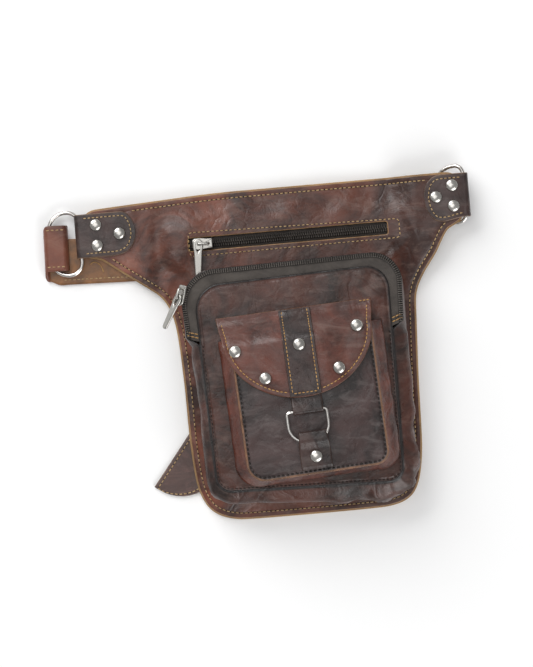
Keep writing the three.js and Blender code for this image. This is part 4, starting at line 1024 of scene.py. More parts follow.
@dataclass
class Pull:
    """Zip pull: a wire-like eye and a tapered tab that points to -y, turned by its own tilt."""

    length: float = 27.0
    width: float = 7.0
    thickness: float = 1.8
    tilt: float = math.radians(3.0)

    def shell(self) -> Shell:
        """Flat pull with rounded edges and an oval hole."""
        eye = self.width / 2 + 0.5
        end = self.width * 0.36
        low = -self.length + end
        arc = np.linspace(0, math.pi, 25)
        top = np.stack([eye * np.cos(arc), eye * np.sin(arc)], axis=1)
        left = np.array([(-eye, -eye * 0.9), (-eye * 0.86, -eye * 1.35), (-self.width / 2 * 0.93, -eye * 1.9)])
        tip = np.linspace(math.pi, 2 * math.pi, 25)
        base = np.stack([end * np.cos(tip), low + end * np.sin(tip)], axis=1)
        outline = resample(soften(np.vstack([top, left, base, (left * [-1, 1])[::-1]]), 2), 240, closed=True)
        hole = 1.8 * 0.78 + 0.5
        gap_top = np.stack([hole * np.cos(arc), hole * np.sin(arc)], axis=1)
        gap_low = np.stack([hole * np.cos(tip), hole * np.sin(tip) - eye * 0.9], axis=1)
        gap = resample(np.vstack([gap_top, gap_low]), 240, closed=True)
        gap = np.roll(gap, -int(np.argmax(gap[:, 1])), axis=0)
        outline = np.roll(outline, -int(np.argmax(outline[:, 1])), axis=0)
        turn = np.unwrap(np.arctan2(gap[:, 0], gap[:, 1] + eye * 0.45))
        want = np.unwrap(np.arctan2(outline[:, 0], outline[:, 1] + eye * 0.45))
        order = np.argsort(turn)
        inner = np.stack([np.interp(want, turn[order], gap[order, k], period=None) for k in range(2)], axis=1)
        shell = Sheet(outline, inner, self.thickness, lambda x, y: np.full(np.shape(x), -self.thickness / 2),
                      rings=5, round=0.75, groove=0.0, inner_edge=False,
                      steps=np.array([0, 0.1, 0.3, 0.55, 0.8, 1.1])).build()
        number = len(outline)
        rows = len(shell.points) // number
        grid = shell.points.reshape(number, rows, 3)
        shell = loft(grid, closed=True)
        c, s = math.cos(self.tilt), math.sin(self.tilt)
        return shell.moved([[1, 0, 0], [0, c, s], [0, -s, c]], (0, 0, 0))


def set_slider(prefix: str, place: np.ndarray, along: np.ndarray, out: np.ndarray, turn: float, body: Body) -> None:
    """Makes one zip slider and its pull at a place of the bag."""
    slider = Slider()
    across = np.cross(out, along)
    rows = np.stack([along, across, out])
    piece(f"{prefix.title()}Slider", slider.shell().moved(rows, place), SATIN, [f"{prefix}_slider"])
    c, s = math.cos(turn), math.sin(turn)
    turned = np.array([[c, s, 0], [-s, c, 0], [0, 0, 1]]) @ rows
    pivot = place + along * (-slider.length * 0.22) + out * (slider.height + 1.4)
    piece(f"{prefix.title()}Pull", Pull().shell().moved(turned, pivot), SATIN, [f"{prefix}_pull"], body)


@dataclass
class TopZip:
    """Zip in the slot above the pouch."""

    form: Form = FORM
    slot: tuple = (-83.0, 76.0, 86.2, 96.3)
    margin: float = 7.0
    tape: float = 0.8
    chain: float = 6.0

    def build(self) -> None:
        """Makes the tape, the teeth, the slider and the pull."""
        f = self.form
        x0, x1, y0, y1 = self.slot
        middle, reach = (y0 + y1) / 2, (y1 - y0) / 2 + self.margin
        x = np.linspace(x0 - 2, x1 + 2, 120)
        across = np.array([-reach, -self.chain / 2 - 0.8, -self.chain / 2, 0, self.chain / 2, self.chain / 2 + 0.8, reach])
        rise = np.array([0, 0, 0.9, 1.1, 0.9, 0, 0])
        gx, gy = np.meshgrid(x, middle + across, indexing="ij")
        under = f.panel_under(gx, gy) - f.soft_gap
        top = np.dstack([gx, gy, under + rise])
        low = np.dstack([gx, gy, under - self.tape])
        chain = np.broadcast_to(np.array([0, 0, 1, 1, 1, 0, 0]), top.shape[:2])
        shell = loft(np.concatenate([top, low[:, ::-1]], axis=1), mask=np.concatenate([chain, chain[:, ::-1]], axis=1))
        piece("TopZip", shell, TAPE, ["top_zip"])
        centre = np.arange(x0 + 1, x1 - 1, 1.8)
        rows = []
        for side, shift in ((-1, 0.0), (1, 0.9)):
            at = np.column_stack([centre + shift, np.full(len(centre), middle + side * 1.25)])
            z = f.panel_under(at[:, 0], at[:, 1]) - f.soft_gap + 1.5
            rows.append(blocks(np.column_stack([at, z]), np.array([1.0, 0, 0]), Z_UP, (0.85, 3.1, 1.3)))
        piece("TopTeeth", joined(rows), TEETH)
        slider_x = x0 + 0.7 * 16.0
        z = float(f.panel_top(np.array(slider_x), np.array(y1)) - f.ripple(np.array(slider_x), np.array(y1)))
        set_slider("top", np.array([slider_x, middle, z + 2 * f.clearance]), np.array([1.0, 0, 0]), Z_UP,
                   math.radians(-4), Body.TOP_PULL)


def blocks(centres: np.ndarray, along: np.ndarray, up: np.ndarray, size: tuple) -> Shell:
    """Small chamfered blocks at many places, such as zip teeth."""
    along = np.broadcast_to(along, centres.shape)
    up = np.broadcast_to(up, centres.shape)
    side = np.cross(up, along)
    layers = []
    for share, level in ((1.0, -0.5), (1.0, 0.1), (0.62, 0.5)):
        for a, b in ((-1, -1), (1, -1), (1, 1), (-1, 1)):
            layers.append((a * share * size[0] / 2, b * (0.5 + 0.5 * share) * size[1] / 2, level * size[2]))
    shape = np.array(layers)
    world = (centres[:, None, :] + along[:, None, :] * shape[None, :, 0:1] + side[:, None, :] * shape[None, :, 1:2]
             + up[:, None, :] * shape[None, :, 2:3])
    local = np.vstack([grid_faces(3, 4, False), [[3, 2, 1, 0]], [[8, 9, 10, 11]]])
    starts = (np.arange(len(centres)) * 12)[:, None, None]
    return Shell(world.reshape(-1, 3), (local[None] + starts).reshape(-1, 4).tolist())


# Pouch outlines: corners as shares of its half width and half height, radii as shares of its width
POUCH_CORNERS = {
    "seam": [(-0.93, -0.965, 0.08), (0.965, -1.01, 0.08), (0.98, 1.02, 0.12), (-1.0, 0.96, 0.14)],
    "crest": [(-1.0, -0.99, 0.12), (1.04, -1.04, 0.12), (1.12, 1.135, 0.15), (-1.15, 1.1, 0.18)],
    "base": [(-1.01, -1.06, 0.14), (1.09, -1.17, 0.17), (1.12, 1.06, 0.17), (-1.05, 1.02, 0.19)],
}

# Crumples of the pouch's side wall: place round it, width, depth and lean
CRUMPLES = [
    (0.03, 0.008, 0.8, 0.01), (0.1, 0.012, -0.5, 0.0), (0.2, 0.01, 1.2, 0.01), (0.225, 0.006, -1.4, -0.01),
    (0.245, 0.006, 1.3, 0.012), (0.27, 0.007, -1.2, 0.015), (0.295, 0.006, 1.6, 0.01), (0.315, 0.006, -1.4, -0.012),
    (0.335, 0.007, 1.5, -0.015), (0.36, 0.007, -1.1, 0.01), (0.38, 0.008, 0.9, 0.0),
    (0.41, 0.014, 0.7, 0.0), (0.78, 0.012, 0.8, 0.01), (0.82, 0.012, -0.7, -0.01), (0.87, 0.014, 0.8, 0.01),
    (0.93, 0.012, -0.5, 0.0),
]


@dataclass
class Pouch:
    """Main pouch: side wall, front, and the zip round its top."""

    form: Form = FORM
    belly: float = 1.6
    crest_drop: float = 5.0
    zip_end: float = 12.0
    tooth_height: float = 1.5
    tooth_width: float = 3.4

    def outline(self, kind: str) -> np.ndarray:
        """One of the pouch's outlines, all with the same number of points."""
        f = self.form
        rows = np.array(POUCH_CORNERS[kind])
        corners = np.column_stack([f.pouch_x + rows[:, 0] * f.pouch_width / 2,
                                   f.pouch_y + rows[:, 1] * f.pouch_height / 2, rows[:, 2] * f.pouch_width])
        return rounded_outline(corners, 40, 90)

    def build(self) -> None:
        """Makes the pouch's pieces."""
        f = self.form
        seam, crest, base = (self.outline(kind) for kind in ("seam", "crest", "base"))
        share = smooth(self.zip_end - 2, self.zip_end + 1.5, seam[:, 1])
        piece("PouchWall", self.wall(seam, crest, base, share), POUCH, ["pouch_gusset"])
        # The front's edge band takes the pouch finish's near-black colour: painted shade of the fold at its seam.
        front = Sheet(seam, core_of(seam, (f.pouch_x, f.pouch_y)), f.leather,
                      lambda x, y: f.pouch_front_top(x, y) - f.leather + f.ripple(x * 1.3, y),
                      rings=30, round=1.3, groove=0.5, groove_at=2.6, edge_band_width=1.5)
        piece("PouchFront", front.build(), POUCH, ["pouch_front"])
        self.zip(seam, crest, share)
        lower = seam[:, 1] < self.zip_end
        start = int(np.argmax(~lower & np.roll(lower, 1)))
        line = np.roll(seam - outward_normals(seam) * 2.4, -start, axis=0)
        shown = np.roll(lower, -start)
        rows = []
        for run in split_runs(line, shown):
            z = f.pouch_front_top(run[:, 0], run[:, 1]) - 0.15
            rows.append(stitch_row(np.column_stack([run, z]), Z_UP, pitch=3.2, length=2.3, radius=0.3))
        piece("PouchStitches", joined(rows), DARK_THREAD_AND_HOLE_SHADE)

    def wall(self, seam: np.ndarray, crest: np.ndarray, base: np.ndarray, share: np.ndarray) -> Shell:
        """Side wall with a belly and crumples; under the zip its rim runs below the crest."""
        f = self.form
        normal = outward_normals(base)
        rim = mix(seam, crest, share[:, None])
        rim_z = mix(f.pouch_top - f.leather, f.pouch_top - self.crest_drop - 1.0, share) - f.clearance
        foot = np.max([f.panel_top(*(base - normal * inset).T) for inset in (0.0, 1.8)], axis=0) + 0.25
        t = np.array([0.0, 0.04, 0.1, 0.18, 0.27, 0.36, 0.45, 0.55, 0.65, 0.74, 0.82, 0.89, 0.95, 0.985, 1.0])
        place = np.arange(len(base)) / len(base)
        crumple = np.zeros((len(base), len(t)))
        for at, width, depth, lean in CRUMPLES:
            away = place[:, None] - at - lean * np.sin(t * math.pi * 1.5)[None, :]
            crumple = crumple + depth * np.exp(-(away / width) ** 2)
        swell = np.sin(t * math.pi) ** 0.7
        out = (self.belly + self.belly * 1.15 * crumple) * swell[None, :]
        lean_in = mix(smooth(0.7, 1.02, t)[None, :], smooth(0.3, 1.0, t)[None, :], share[:, None])[..., None]
        flat = mix(base[:, None, :], rim[:, None, :], lean_in) + normal[:, None, :] * out[..., None]
        z = mix(foot[:, None], rim_z[:, None], (t ** 0.9)[None, :])
        outer = np.dstack([flat, z])
        inner = np.dstack([flat - normal[:, None, :] * f.leather, z])
        # Painted shade: the wall's foot and rim, where it meets the panel and the front, take the near-black edge
        # colour.
        seam_shade_mask = np.broadcast_to((t < 0.03) | (t > 0.96), outer.shape[:2]).astype(float)
        loops = np.concatenate([outer, inner[:, ::-1]], axis=1)
        return loft(loops, closed=True, mask=np.concatenate([seam_shade_mask, seam_shade_mask], axis=1))

    def zip(self, seam: np.ndarray, crest: np.ndarray, share: np.ndarray) -> None:
        """Tape, teeth, bar tacks, slider and pull."""
        f = self.form
        normal = outward_normals(seam)
        inner = seam - normal * 0.02 * f.pouch_width
        keep = np.flatnonzero(share > 0.3)
        inner, outer, across = inner[keep], crest[keep], outward_normals(crest)[keep]
        tuck = f.pouch_front_top(inner[:, 0], inner[:, 1]) - f.leather - f.clearance
        crest_z = f.pouch_top - self.crest_drop
        width = np.linalg.norm(outer - inner, axis=1)
        edge = 1 - self.tooth_width / width
        shares = np.stack([np.zeros_like(edge), np.full_like(edge, 0.25), edge * 0.6, edge * 0.9, edge, edge + 0.04,
                           np.full_like(edge, 0.99), np.ones_like(edge)], axis=1)
        level = mix(tuck, crest_z, 0.75)
        tops = np.stack([tuck, tuck, mix(tuck, level, 0.55), level, level, level + 0.7,
                         np.full_like(tuck, crest_z + 0.7), np.full_like(tuck, crest_z)], axis=1)
        flat = mix(inner[:, None, :], outer[:, None, :], shares[..., None])
        top = np.dstack([flat, tops])
        low = np.dstack([flat, np.minimum(tops - 1.0, tops[:, :1] - 1.0)])
        chain = np.broadcast_to(np.array([0, 0, 0, 0, 1, 1, 1, 1]), tops.shape)
        shell = loft(np.concatenate([top, low[:, ::-1]], axis=1), mask=np.concatenate([chain, chain[:, ::-1]], axis=1))
        piece("PouchZip", shell, TAPE, ["pouch_zip"])
        middle = mix(inner, outer, ((1 + edge) / 2)[:, None])
        line = np.column_stack([middle, mix(level, np.full_like(level, crest_z), 0.5) + 0.75])
        reach = path_lengths(line)
        at = np.arange(1.0, reach[-1] - 1.0, 1.75)
        centre = np.stack([np.interp(at, reach, line[:, k]) for k in range(3)], axis=1)
        along = np.stack([np.interp(at, reach, tangents(line)[:, k]) for k in range(3)], axis=1)
        side = np.stack([np.interp(at, reach, across[:, k]) for k in range(2)], axis=1)
        up = np.column_stack([side * 0.55, np.full(len(at), 0.83)])
        along -= up * np.sum(along * up, axis=1, keepdims=True)
        along /= np.linalg.norm(along, axis=1, keepdims=True)
        teeth = blocks(centre, along, up / np.linalg.norm(up, axis=1, keepdims=True), (0.85, 3.0, 1.5))
        piece("PouchTeeth", teeth, TEETH)
        rows = []
        for end, step in ((0, 1), (-1, -1)):
            for k in range(2):
                a, b = inner[end + step * (2 + 2 * k)], outer[end + step * (2 + 2 * k)]
                flat_row = mix(a[None, :], b[None, :], np.linspace(0.25, 0.95, 12)[:, None])
                z = np.interp(np.linspace(0.25, 0.95, 12), [0, edge[end], 1], [tuck[end], level[end], crest_z]) + 0.8
                rows.append(stitch_row(np.column_stack([flat_row, z]), Z_UP, pitch=3.0, length=2.9, radius=0.4))
        piece("ZipTacks", joined(rows), OCHRE)
        self.slider(crest)

    def slider(self, crest: np.ndarray) -> None:
        """Slider and pull at the pouch's upper left, where the solid model has them."""
        low, high = (np.array(corner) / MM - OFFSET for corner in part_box("side_slider"))
        bag = (low + high) / 2
        out = np.array([-0.6668, 0.2353, 0.7071])
        along = np.array([0.3327, 0.943, 0.0])
        across = np.cross(out, along)
        l, w, h = 8.0, 4.8, 2.4
        corners = np.array([along * a * l + across * b * w + out * c for a in (-1, 1) for b in (-1, 1) for c in (0, h)])
        post = along * -3.52 + out * (h + 3.6)
        reach = np.vstack([corners, post + along * 3])
        place = bag - (reach.min(axis=0) + reach.max(axis=0)) / 2
        set_slider("side", SIDE_SLIDER - OFFSET if SIDE_SLIDER is not None else place, along, out,
                   math.radians(-108), Body.SIDE_PULL)


# Place of the side slider in the row's frame, as in the solid model
SIDE_SLIDER = np.array([-62.7127, 47.44, 35.9414])


@dataclass
class Pocket:
    """Front pocket with its flap and closure, in its own turned frame."""

    form: Form = FORM
    flap_width: float = 121.0
    flap_shoulder: float = 17.0
    flap_drop: float = 53.0
    flap_x: float = -3.0
    spread: float = 9.0
    closure_x: float = -3.8
    closure_y: float = -46.5
    closure_reach: float = 24.0
    closure_half: float = 16.2
    closure_wire: float = 2.4
    tab_fold: float = -64.2
    tab_end: float = -93.2

    def placed(self, shell: Shell) -> Shell:
        """A shell of the pocket's frame in the bag's frame."""
        return Shell(self.form.pocket_place(shell.points), shell.faces, shell.mask)

    def build(self) -> None:
        """Makes the pocket, its flap, its closure and their threads and rivets."""
        f = self.form
        w, h = f.pocket_width, f.pocket_height
        x0, x1 = f.pocket_x - w / 2, f.pocket_x + w / 2
        y0, mouth = f.pocket_y - h / 2, f.pocket_y + 0.495 * h
        corners = np.array([(x0, y0, 0.13 * w), (x1, y0 + 1, 0.1 * w), (x1, mouth, 0.02 * w), (x0, mouth, 0.02 * w)])
        edge = rounded_outline(corners, 30, 70)
        front = Sheet(edge, core_of(edge, (f.pocket_x, f.pocket_y)), f.leather,
                      lambda x, y: f.pocket_top(x, y) - f.leather + 0.7 * f.ripple(x, y * 1.4) * (1 - f.mouth_fall(y)),
                      rings=30, groove_at=2.8, edge_band_width=1.7)
        piece("PocketFront", self.placed(front.build()), POCKET, ["pocket_front"])
        piece("PocketWall", self.placed(self.wall(x0, x1, mouth)), WALL, ["pocket_gusset"])
        inner = edge - outward_normals(edge) * 2.6
        start = int(np.argmax(inner[:, 1] + 0.001 * inner[:, 0]))
        inner = np.roll(inner, -start, axis=0)
        rows = [self.row(run, f.pocket_top, 0.1, 3.6, 2.5, 0.6) for run in split_runs(inner, inner[:, 1] < 8)]
        piece("PocketStitches", self.placed(joined(rows)), DARK_THREAD_AND_HOLE_SHADE)
        self.flap()
        self.closure()

    def row(self, flat: np.ndarray, top: Callable, sink: float, pitch: float, length: float, radius: float) -> Shell:
        """Stitches along a flat line on a surface of the pocket's frame."""
        z = top(flat[:, 0], flat[:, 1]) - sink
        return stitch_row(np.column_stack([flat, z]), Z_UP, pitch=pitch, length=length, radius=radius)

    def wall(self, x0: float, x1: float, mouth: float) -> Shell:
        """Side wall: down the left, along the bottom and up the right."""
        f = self.form
        w, h = f.pocket_width, f.pocket_height
        y0 = f.pocket_y - h / 2
        corners = np.array([(x0, y0, 0.13 * w), (x1, y0 + 1, 0.1 * w), (x1, mouth + 60, 2), (x0, mouth + 60, 2)])
        ring = rounded_outline(corners, 30, 120)
        normal = outward_normals(ring)
        top = int(np.argmax(ring[:, 1] - 0.001 * ring[:, 0]))
        ring, normal = np.roll(ring, -top, axis=0), np.roll(normal, -top, axis=0)
        keep = (ring[:, 1] < mouth) & (np.arange(len(ring)) > 0)
        ring, normal = ring[keep], normal[keep]
        spread = self.spread * mix(0.45, 1.0, np.abs(normal[:, 0]))
        foot = ring + normal * spread[:, None]
        floor = f.on_pouch(foot[:, 0], foot[:, 1]) + 0.15
        rim = f.pocket_top(ring[:, 0], ring[:, 1]) - f.leather - 0.25
        t = np.array([0.0, 0.05, 0.13, 0.24, 0.36, 0.5, 0.63, 0.76, 0.87, 0.95, 1.0])
        reach = path_lengths(ring)
        wave = 0.5 * np.sin(reach / 5.2 + 1.4 * np.sin(reach / 13.0)) + 0.35 * np.sin(reach / 3.1)
        out = mix(spread[:, None], -0.5, smooth(0.1, 1.05, t)[None, :])
        out = out + (wave[:, None] * np.sin(t * math.pi)[None, :]) * 0.9
        flat = ring[:, None, :] + normal[:, None, :] * out[..., None]
        z = mix(floor[:, None], rim[:, None], t[None, :])
        outer = np.dstack([flat, z])
        inner = np.dstack([flat - normal[:, None, :] * f.leather * 0.9, z])
        # Painted shadow: the wall's foot takes the finish's near-black edge colour.
        seam_shade_mask = np.broadcast_to(t < 0.1, outer.shape[:2]).astype(float)
        return loft(np.concatenate([outer, inner[:, ::-1]], axis=1), mask=np.concatenate([seam_shade_mask, seam_shade_mask], axis=1))

    def flap_outline(self) -> np.ndarray:
        """Outline of the flap: straight top and sides, then half an ellipse."""
        half = self.flap_width / 2
        top = self.form.flap_top
        turn = np.linspace(0, math.pi, 121)
        arc = np.stack([self.flap_x - half * 0.98 * np.cos(turn), self.flap_shoulder - self.flap_drop * np.sin(turn)], axis=1)
        right = np.array([(self.flap_x + half * 1.0, self.flap_shoulder + 6), (self.flap_x + half * 1.02, top - 1)])
        left = np.array([(self.flap_x - half * 1.02, top - 1), (self.flap_x - half * 1.0, self.flap_shoulder + 6)])
        edge = np.array([(self.flap_x + s * half * 1.015, top) for s in np.linspace(1, -1, 30)])
        line = resample(np.vstack([arc, right, edge, left]), 600, closed=True)
        return soften(line, 1)[::2]

    def flap(self) -> None:
        """Flap, its strip, stitches and rivets."""
        f = self.form
        line = self.flap_outline()
        ripple = lambda x, y: 0.8 * f.ripple(x * 1.2, y * 1.1)
        under = lambda x, y: f.flap_under(x, y) + ripple(x, y) + 0.9 * smooth(f.flap_top - 9, f.flap_top, y)
        top = lambda x, y: under(x, y) + f.leather
        sheet = Sheet(line, core_of(line, (self.flap_x, 5.0)), f.leather, under, rings=30, groove_at=3.6)
        piece("Flap", self.placed(sheet.build()), FLAP, ["pocket_flap"])
        tip = self.flap_shoulder - self.flap_drop
        half = f.strip_width / 2
        corners = np.array([(f.strip_x - half, tip + 1.2, 1.0), (f.strip_x + half, tip + 1.2, 1.0),
                            (f.strip_x + half, f.flap_top - 0.4, 1.0), (f.strip_x - half, f.flap_top - 0.4, 1.0)])
        strip_line = rounded_outline(corners, 6, 70)
        strip_under = lambda x, y: top(x, y) + 0.15
        strip = Sheet(strip_line, core_of(strip_line, (f.strip_x, 0.0)), f.thin, strip_under, rings=10, round=0.5,
                      groove=0.2, groove_at=2.4)
        piece("FlapStrip", self.placed(strip.build()), DARK, ["flap_strip"])
        inner = line - outward_normals(line) * 3.6
        start = int(np.argmax(inner[:, 1] + 0.001 * inner[:, 0]))
        inner = np.roll(inner, -start, axis=0)
        hidden = np.abs(inner[:, 0] - f.strip_x) < half + 0.8
        shown = ~hidden & (inner[:, 1] < 29)
        rows = [self.row(run, top, 0.22, 3.3, 2.5, 0.42) for run in split_runs(inner, shown)]
        strip_top = lambda x, y: strip_under(x, y) + f.thin
        for side in (-1, 1):
            x = f.strip_x + side * (half - 2.4)
            run = np.column_stack([np.full(60, x), np.linspace(f.flap_top - 1.5, tip + 4.0, 60)])
            rows.append(self.row(run, strip_top, 0.15, 3.0, 2.3, 0.38))
        across = np.column_stack([np.linspace(f.strip_x - half + 3, f.strip_x + half - 3, 20), np.full(20, tip + 3.6)])
        rows.append(self.row(across, strip_top, 0.15, 3.0, 2.3, 0.38))
        tack = np.column_stack([np.linspace(self.flap_x + 0.86 * self.flap_width / 2, self.flap_x + self.flap_width / 2, 12),
                                np.full(12, f.flap_top - 1.6)])
        rows.append(self.row(tack, top, 0.1, 2.6, 2.4, 0.45))
        piece("FlapStitches", self.placed(joined(rows)), OCHRE)
        for i in range(1, 6):
            rivet(f"flap_rivet_{i}")
        self.tip = tip

    def closure(self) -> None:
        """Loop under the flap, ring, tab and its rivet."""
        f = self.form
        wire = self.closure_wire
        level = float(f.pocket_top(np.array(self.closure_x), np.array(self.closure_y - self.closure_reach / 2))
                      + 2 * f.clearance + f.thin + wire / 2)
        ring = ring_line(self.closure_half - 0.4, self.closure_reach, 0.8)
        points = np.column_stack([self.closure_x + ring[:, 1], self.closure_y - ring[:, 0], np.full(len(ring), level)])
        piece("ClosureRing", self.placed(tube(points, wire / 2, Z_UP)), NICKEL, ["closure_ring"])
        radius = wire / 2 + f.clearance + f.thin / 2
        tip = self.tip
        low = lambda x, y: float(f.pocket_top(np.array(x), np.array(y))) + f.clearance + f.thin / 2
        x = f.strip_x
        turn = np.linspace(math.pi / 2, -math.pi / 2, 13)
        upper = [(tip + 12, low(x, tip + 12) + f.thin + f.clearance), (tip, low(x, tip) + f.thin + f.clearance),
                 (self.closure_y + 3, level + radius - 0.4)]
        arc = [(self.closure_y - radius * math.cos(a), level + radius * math.sin(a)) for a in turn]
        lower = [(tip, low(x, tip)), (tip + 12, low(x, tip + 12))]
        self.fold_piece("FlapLoop", "flap_loop", x, upper + arc + lower, [f.strip_width / 2 - 0.5] * 18)
        x = self.closure_x + 2.3
        centre = self.tab_fold - radius + f.thin / 2
        rest = lambda y: low(x, y) + f.thin + f.clearance
        upper = [(self.tab_end, rest(self.tab_end)), (mix(centre, self.tab_end, 0.45), rest(mix(centre, self.tab_end, 0.45))),
                 (mix(centre, self.tab_end, 0.2), level + radius)]
        arc = [(centre + radius * math.cos(a), level + radius * math.sin(a)) for a in turn]
        mid = mix(centre, self.tab_end, 0.5)
        lower = [(mid, low(x, mid)), (self.tab_end + 1, low(x, self.tab_end))]
        halves = [0.49 * f.strip_width] * 2 + [0.47 * f.strip_width] + [0.44 * f.strip_width] * 15
        self.fold_piece("ClosureTab", "closure_tab", x, upper + arc + lower, halves)
        rivet("tab_rivet")

    def fold_piece(self, name: str, node: str, x: float, profile: list, halves: list) -> None:
        """Strip folded about a wire, from its profile of y and z."""
        f = self.form
        centre = np.array([(x, y, z) for y, z in profile], float)
        centre = catmull(centre, 4)
        half = np.interp(np.linspace(0, 1, len(centre)), np.linspace(0, 1, len(halves)), halves)
        heading = 1.0 if centre[1, 1] < centre[0, 1] else -1.0
        side = np.broadcast_to(np.array([heading, 0, 0]), centre.shape)
        piece(name, self.placed(ribbon(centre, side, half, f.thin)), DARK, [node])


def ring_line(half: float, reach: float, bend: float = 0.52, corner: float = 0.16) -> np.ndarray:
    """D-shaped line of a ring, as reach and side: tight corners at its bar, wide ones at its arc."""
    tight, wide = corner * half, bend * half
    corners = np.array([(0, -half, tight), (reach, -half, wide), (reach, half, wide), (0, half, tight)], float)
    return resample(soften(rounded_outline(corners, 16, 16), 2), 140, closed=True)


def rivet(name: str, radius: float = 4.9, height: float = 2.7, sink: float = 0.2) -> None:
    """Domed rivet cap with a small rim, where the solid model has it.

    Args:
        name: solid node of the rivet.
        radius: radius of its rim.
        height: height of its dome.
        sink: depth of its rim in the leather.
    """
    low, high = (np.array(corner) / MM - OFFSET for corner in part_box(name))
    middle = (low + high) / 2
    t = np.linspace(0, 1, 11)
    dome_r = radius * 0.98 * np.cos(t * math.pi / 2)
    dome_z = height * (0.16 + 0.84 * np.sin(t * math.pi / 2) ** 0.92)
    profile = np.vstack([[(0.02, 0.0), (radius * 0.9, 0.0), (radius, 0.1 * height)], np.column_stack([dome_r, dome_z])])
    profile[-1, 0] = 0.02
    turn = np.linspace(0, 2 * math.pi, 40, endpoint=False)
    z = profile[:, 1:] + low[2] - sink
    loops = np.stack([profile[:, :1] * np.cos(turn) + middle[0], profile[:, :1] * np.sin(turn) + middle[1],
                      np.broadcast_to(z, (len(profile), 40))], axis=-1)
    piece(name.title().replace("_", ""), loft(loops), CAP, [name])


@dataclass
class Ends:
    """End tabs, their rings and rivets."""

    form: Form = FORM
    tab_width: float = 35.0
    left_length: float = 44.5
    right_length: float = 32.5
    left_y: float = 105.5
    right_y: float = 112.0

    def build(self) -> None:
        """Makes both ends."""
        f = self.form
        self.tab("Left", f.left_bar, self.left_y, f.left_seat, 1, self.left_length)
        self.tab("Right", f.right_bar, self.right_y, f.right_seat, -1, self.right_length)
        self.ring("Left", f.left_bar, f.left_ring_y, f.left_seat + f.panel_stack / 2)
        self.ring("Right", f.right_bar, f.right_ring_y, f.right_seat + f.panel_stack / 2)

    def tab(self, side_name: str, bar: float, y: float, seat: float, way: int, length: float) -> None:
        """One tab: a round-ended upper layer, a fold about the bar and a lower layer."""
        f = self.form
        upper_z = seat + f.panel_stack + f.clearance + f.thin / 2
        lower_z = seat - f.clearance - f.thin / 2
        radius, middle = (upper_z - lower_z) / 2, (upper_z + lower_z) / 2
        along = np.concatenate([1 - np.array([0.0, 0.003, 0.01, 0.022, 0.04, 0.065, 0.1, 0.14, 0.19, 0.24, 0.3]),
                                np.linspace(0.62, 0.08, 12)]) * length
        upper = np.stack([bar + way * along, np.full(len(along), y), np.full(len(along), upper_z)], axis=1)
        upper[:, 2] += 0.35 * np.sin(along / 6.0) * (along > 4)
        turn = math.pi / 2 + np.linspace(0, math.pi, 15)
        arc = np.stack([bar + way * radius * np.cos(turn), np.full(15, y), middle + radius * np.sin(turn)], axis=1)
        low_at = np.linspace(0.08, 0.6, 6) * length
        lower = np.stack([bar + way * low_at, np.full(6, y), np.full(6, lower_z)], axis=1)
        centre = np.vstack([upper, arc, lower])
        left = length - along
        full = self.tab_width / 2
        ends = (0.34, 0.55) if side_name == "Left" else (0.42, 0.42)
        bulge = 0.0 if side_name == "Left" else 2.6
        above, below = (full * np.sqrt(np.maximum(0.002, 1 - np.maximum(0, 1 - left / (end * self.tab_width)) ** 2.3))
                        for end in ends)
        below = below + bulge * smooth(0.0, 0.6 * length, along) * np.sqrt(np.clip(left / 8.0, 0.0, 1.0))
        upper[:, 1] += (above - below) / 2
        centre[: len(along)] = upper
        half = np.concatenate([(above + below) / 2, np.full(21, full)])
        side = np.broadcast_to(np.array([0.0, -way, 0]), centre.shape)
        node = side_name.lower()
        piece(f"{side_name}Tab", ribbon(centre, side, half, f.thin, 0.5), TAB, [f"{node}_tab"])
        inset = 3.4
        border = [np.stack([bar + way * along, y + sign * np.maximum(reach_out - inset, 0),
                            np.full(len(along), upper_z + f.thin / 2)], axis=1)
                  for sign, reach_out in ((1, above), (-1, below))]
        end = 0.42 * self.tab_width
        reach = np.maximum(along, 0)
        line = np.vstack([border[0][::-1], border[1]])
        line[:, 0] -= way * inset * np.clip((np.concatenate([reach[::-1], reach]) - (length - end)) / end, 0, 1) ** 2
        line[:, 2] += 0.35 * np.sin(np.concatenate([along[::-1], along]) / 6.0) - 0.12
        line = resample(line, 160)
        piece(f"{side_name}TabStitches", stitch_row(line, Z_UP, pitch=3.3, length=2.5), TAN_THREAD)
        piece(f"{side_name}TabHoleShade", painted_hole_shade(line, Z_UP, 3.3), DARK_THREAD_AND_HOLE_SHADE)
        for i in (1, 2, 3):
            rivet(f"{node}_rivet_{i}")

    def ring(self, side_name: str, bar: float, y: float, bar_z: float) -> None:
        """One ring: its bar in the tab, its arc down at the strap."""
        f = self.form
        loop_z = f.strap + f.clearance + f.ring_wire / 2
        slope = math.asin((bar_z - loop_z) / f.ring_reach)
        half, bend, corner = (f.ring_half, 0.58, 0.4) if side_name == "Left" else (f.ring_half - 2.4, 0.76, 0.3)
        line = ring_line(half, f.ring_reach, bend, corner)
        normal = np.array([-math.sin(slope), 0, math.cos(slope)])
        points = np.column_stack([bar - line[:, 0] * math.cos(slope), y + line[:, 1], bar_z - line[:, 0] * math.sin(slope)])
        piece(f"{side_name}Ring", tube(points, f.ring_wire * 0.54, normal), NICKEL, [f"{side_name.lower()}_ring"])


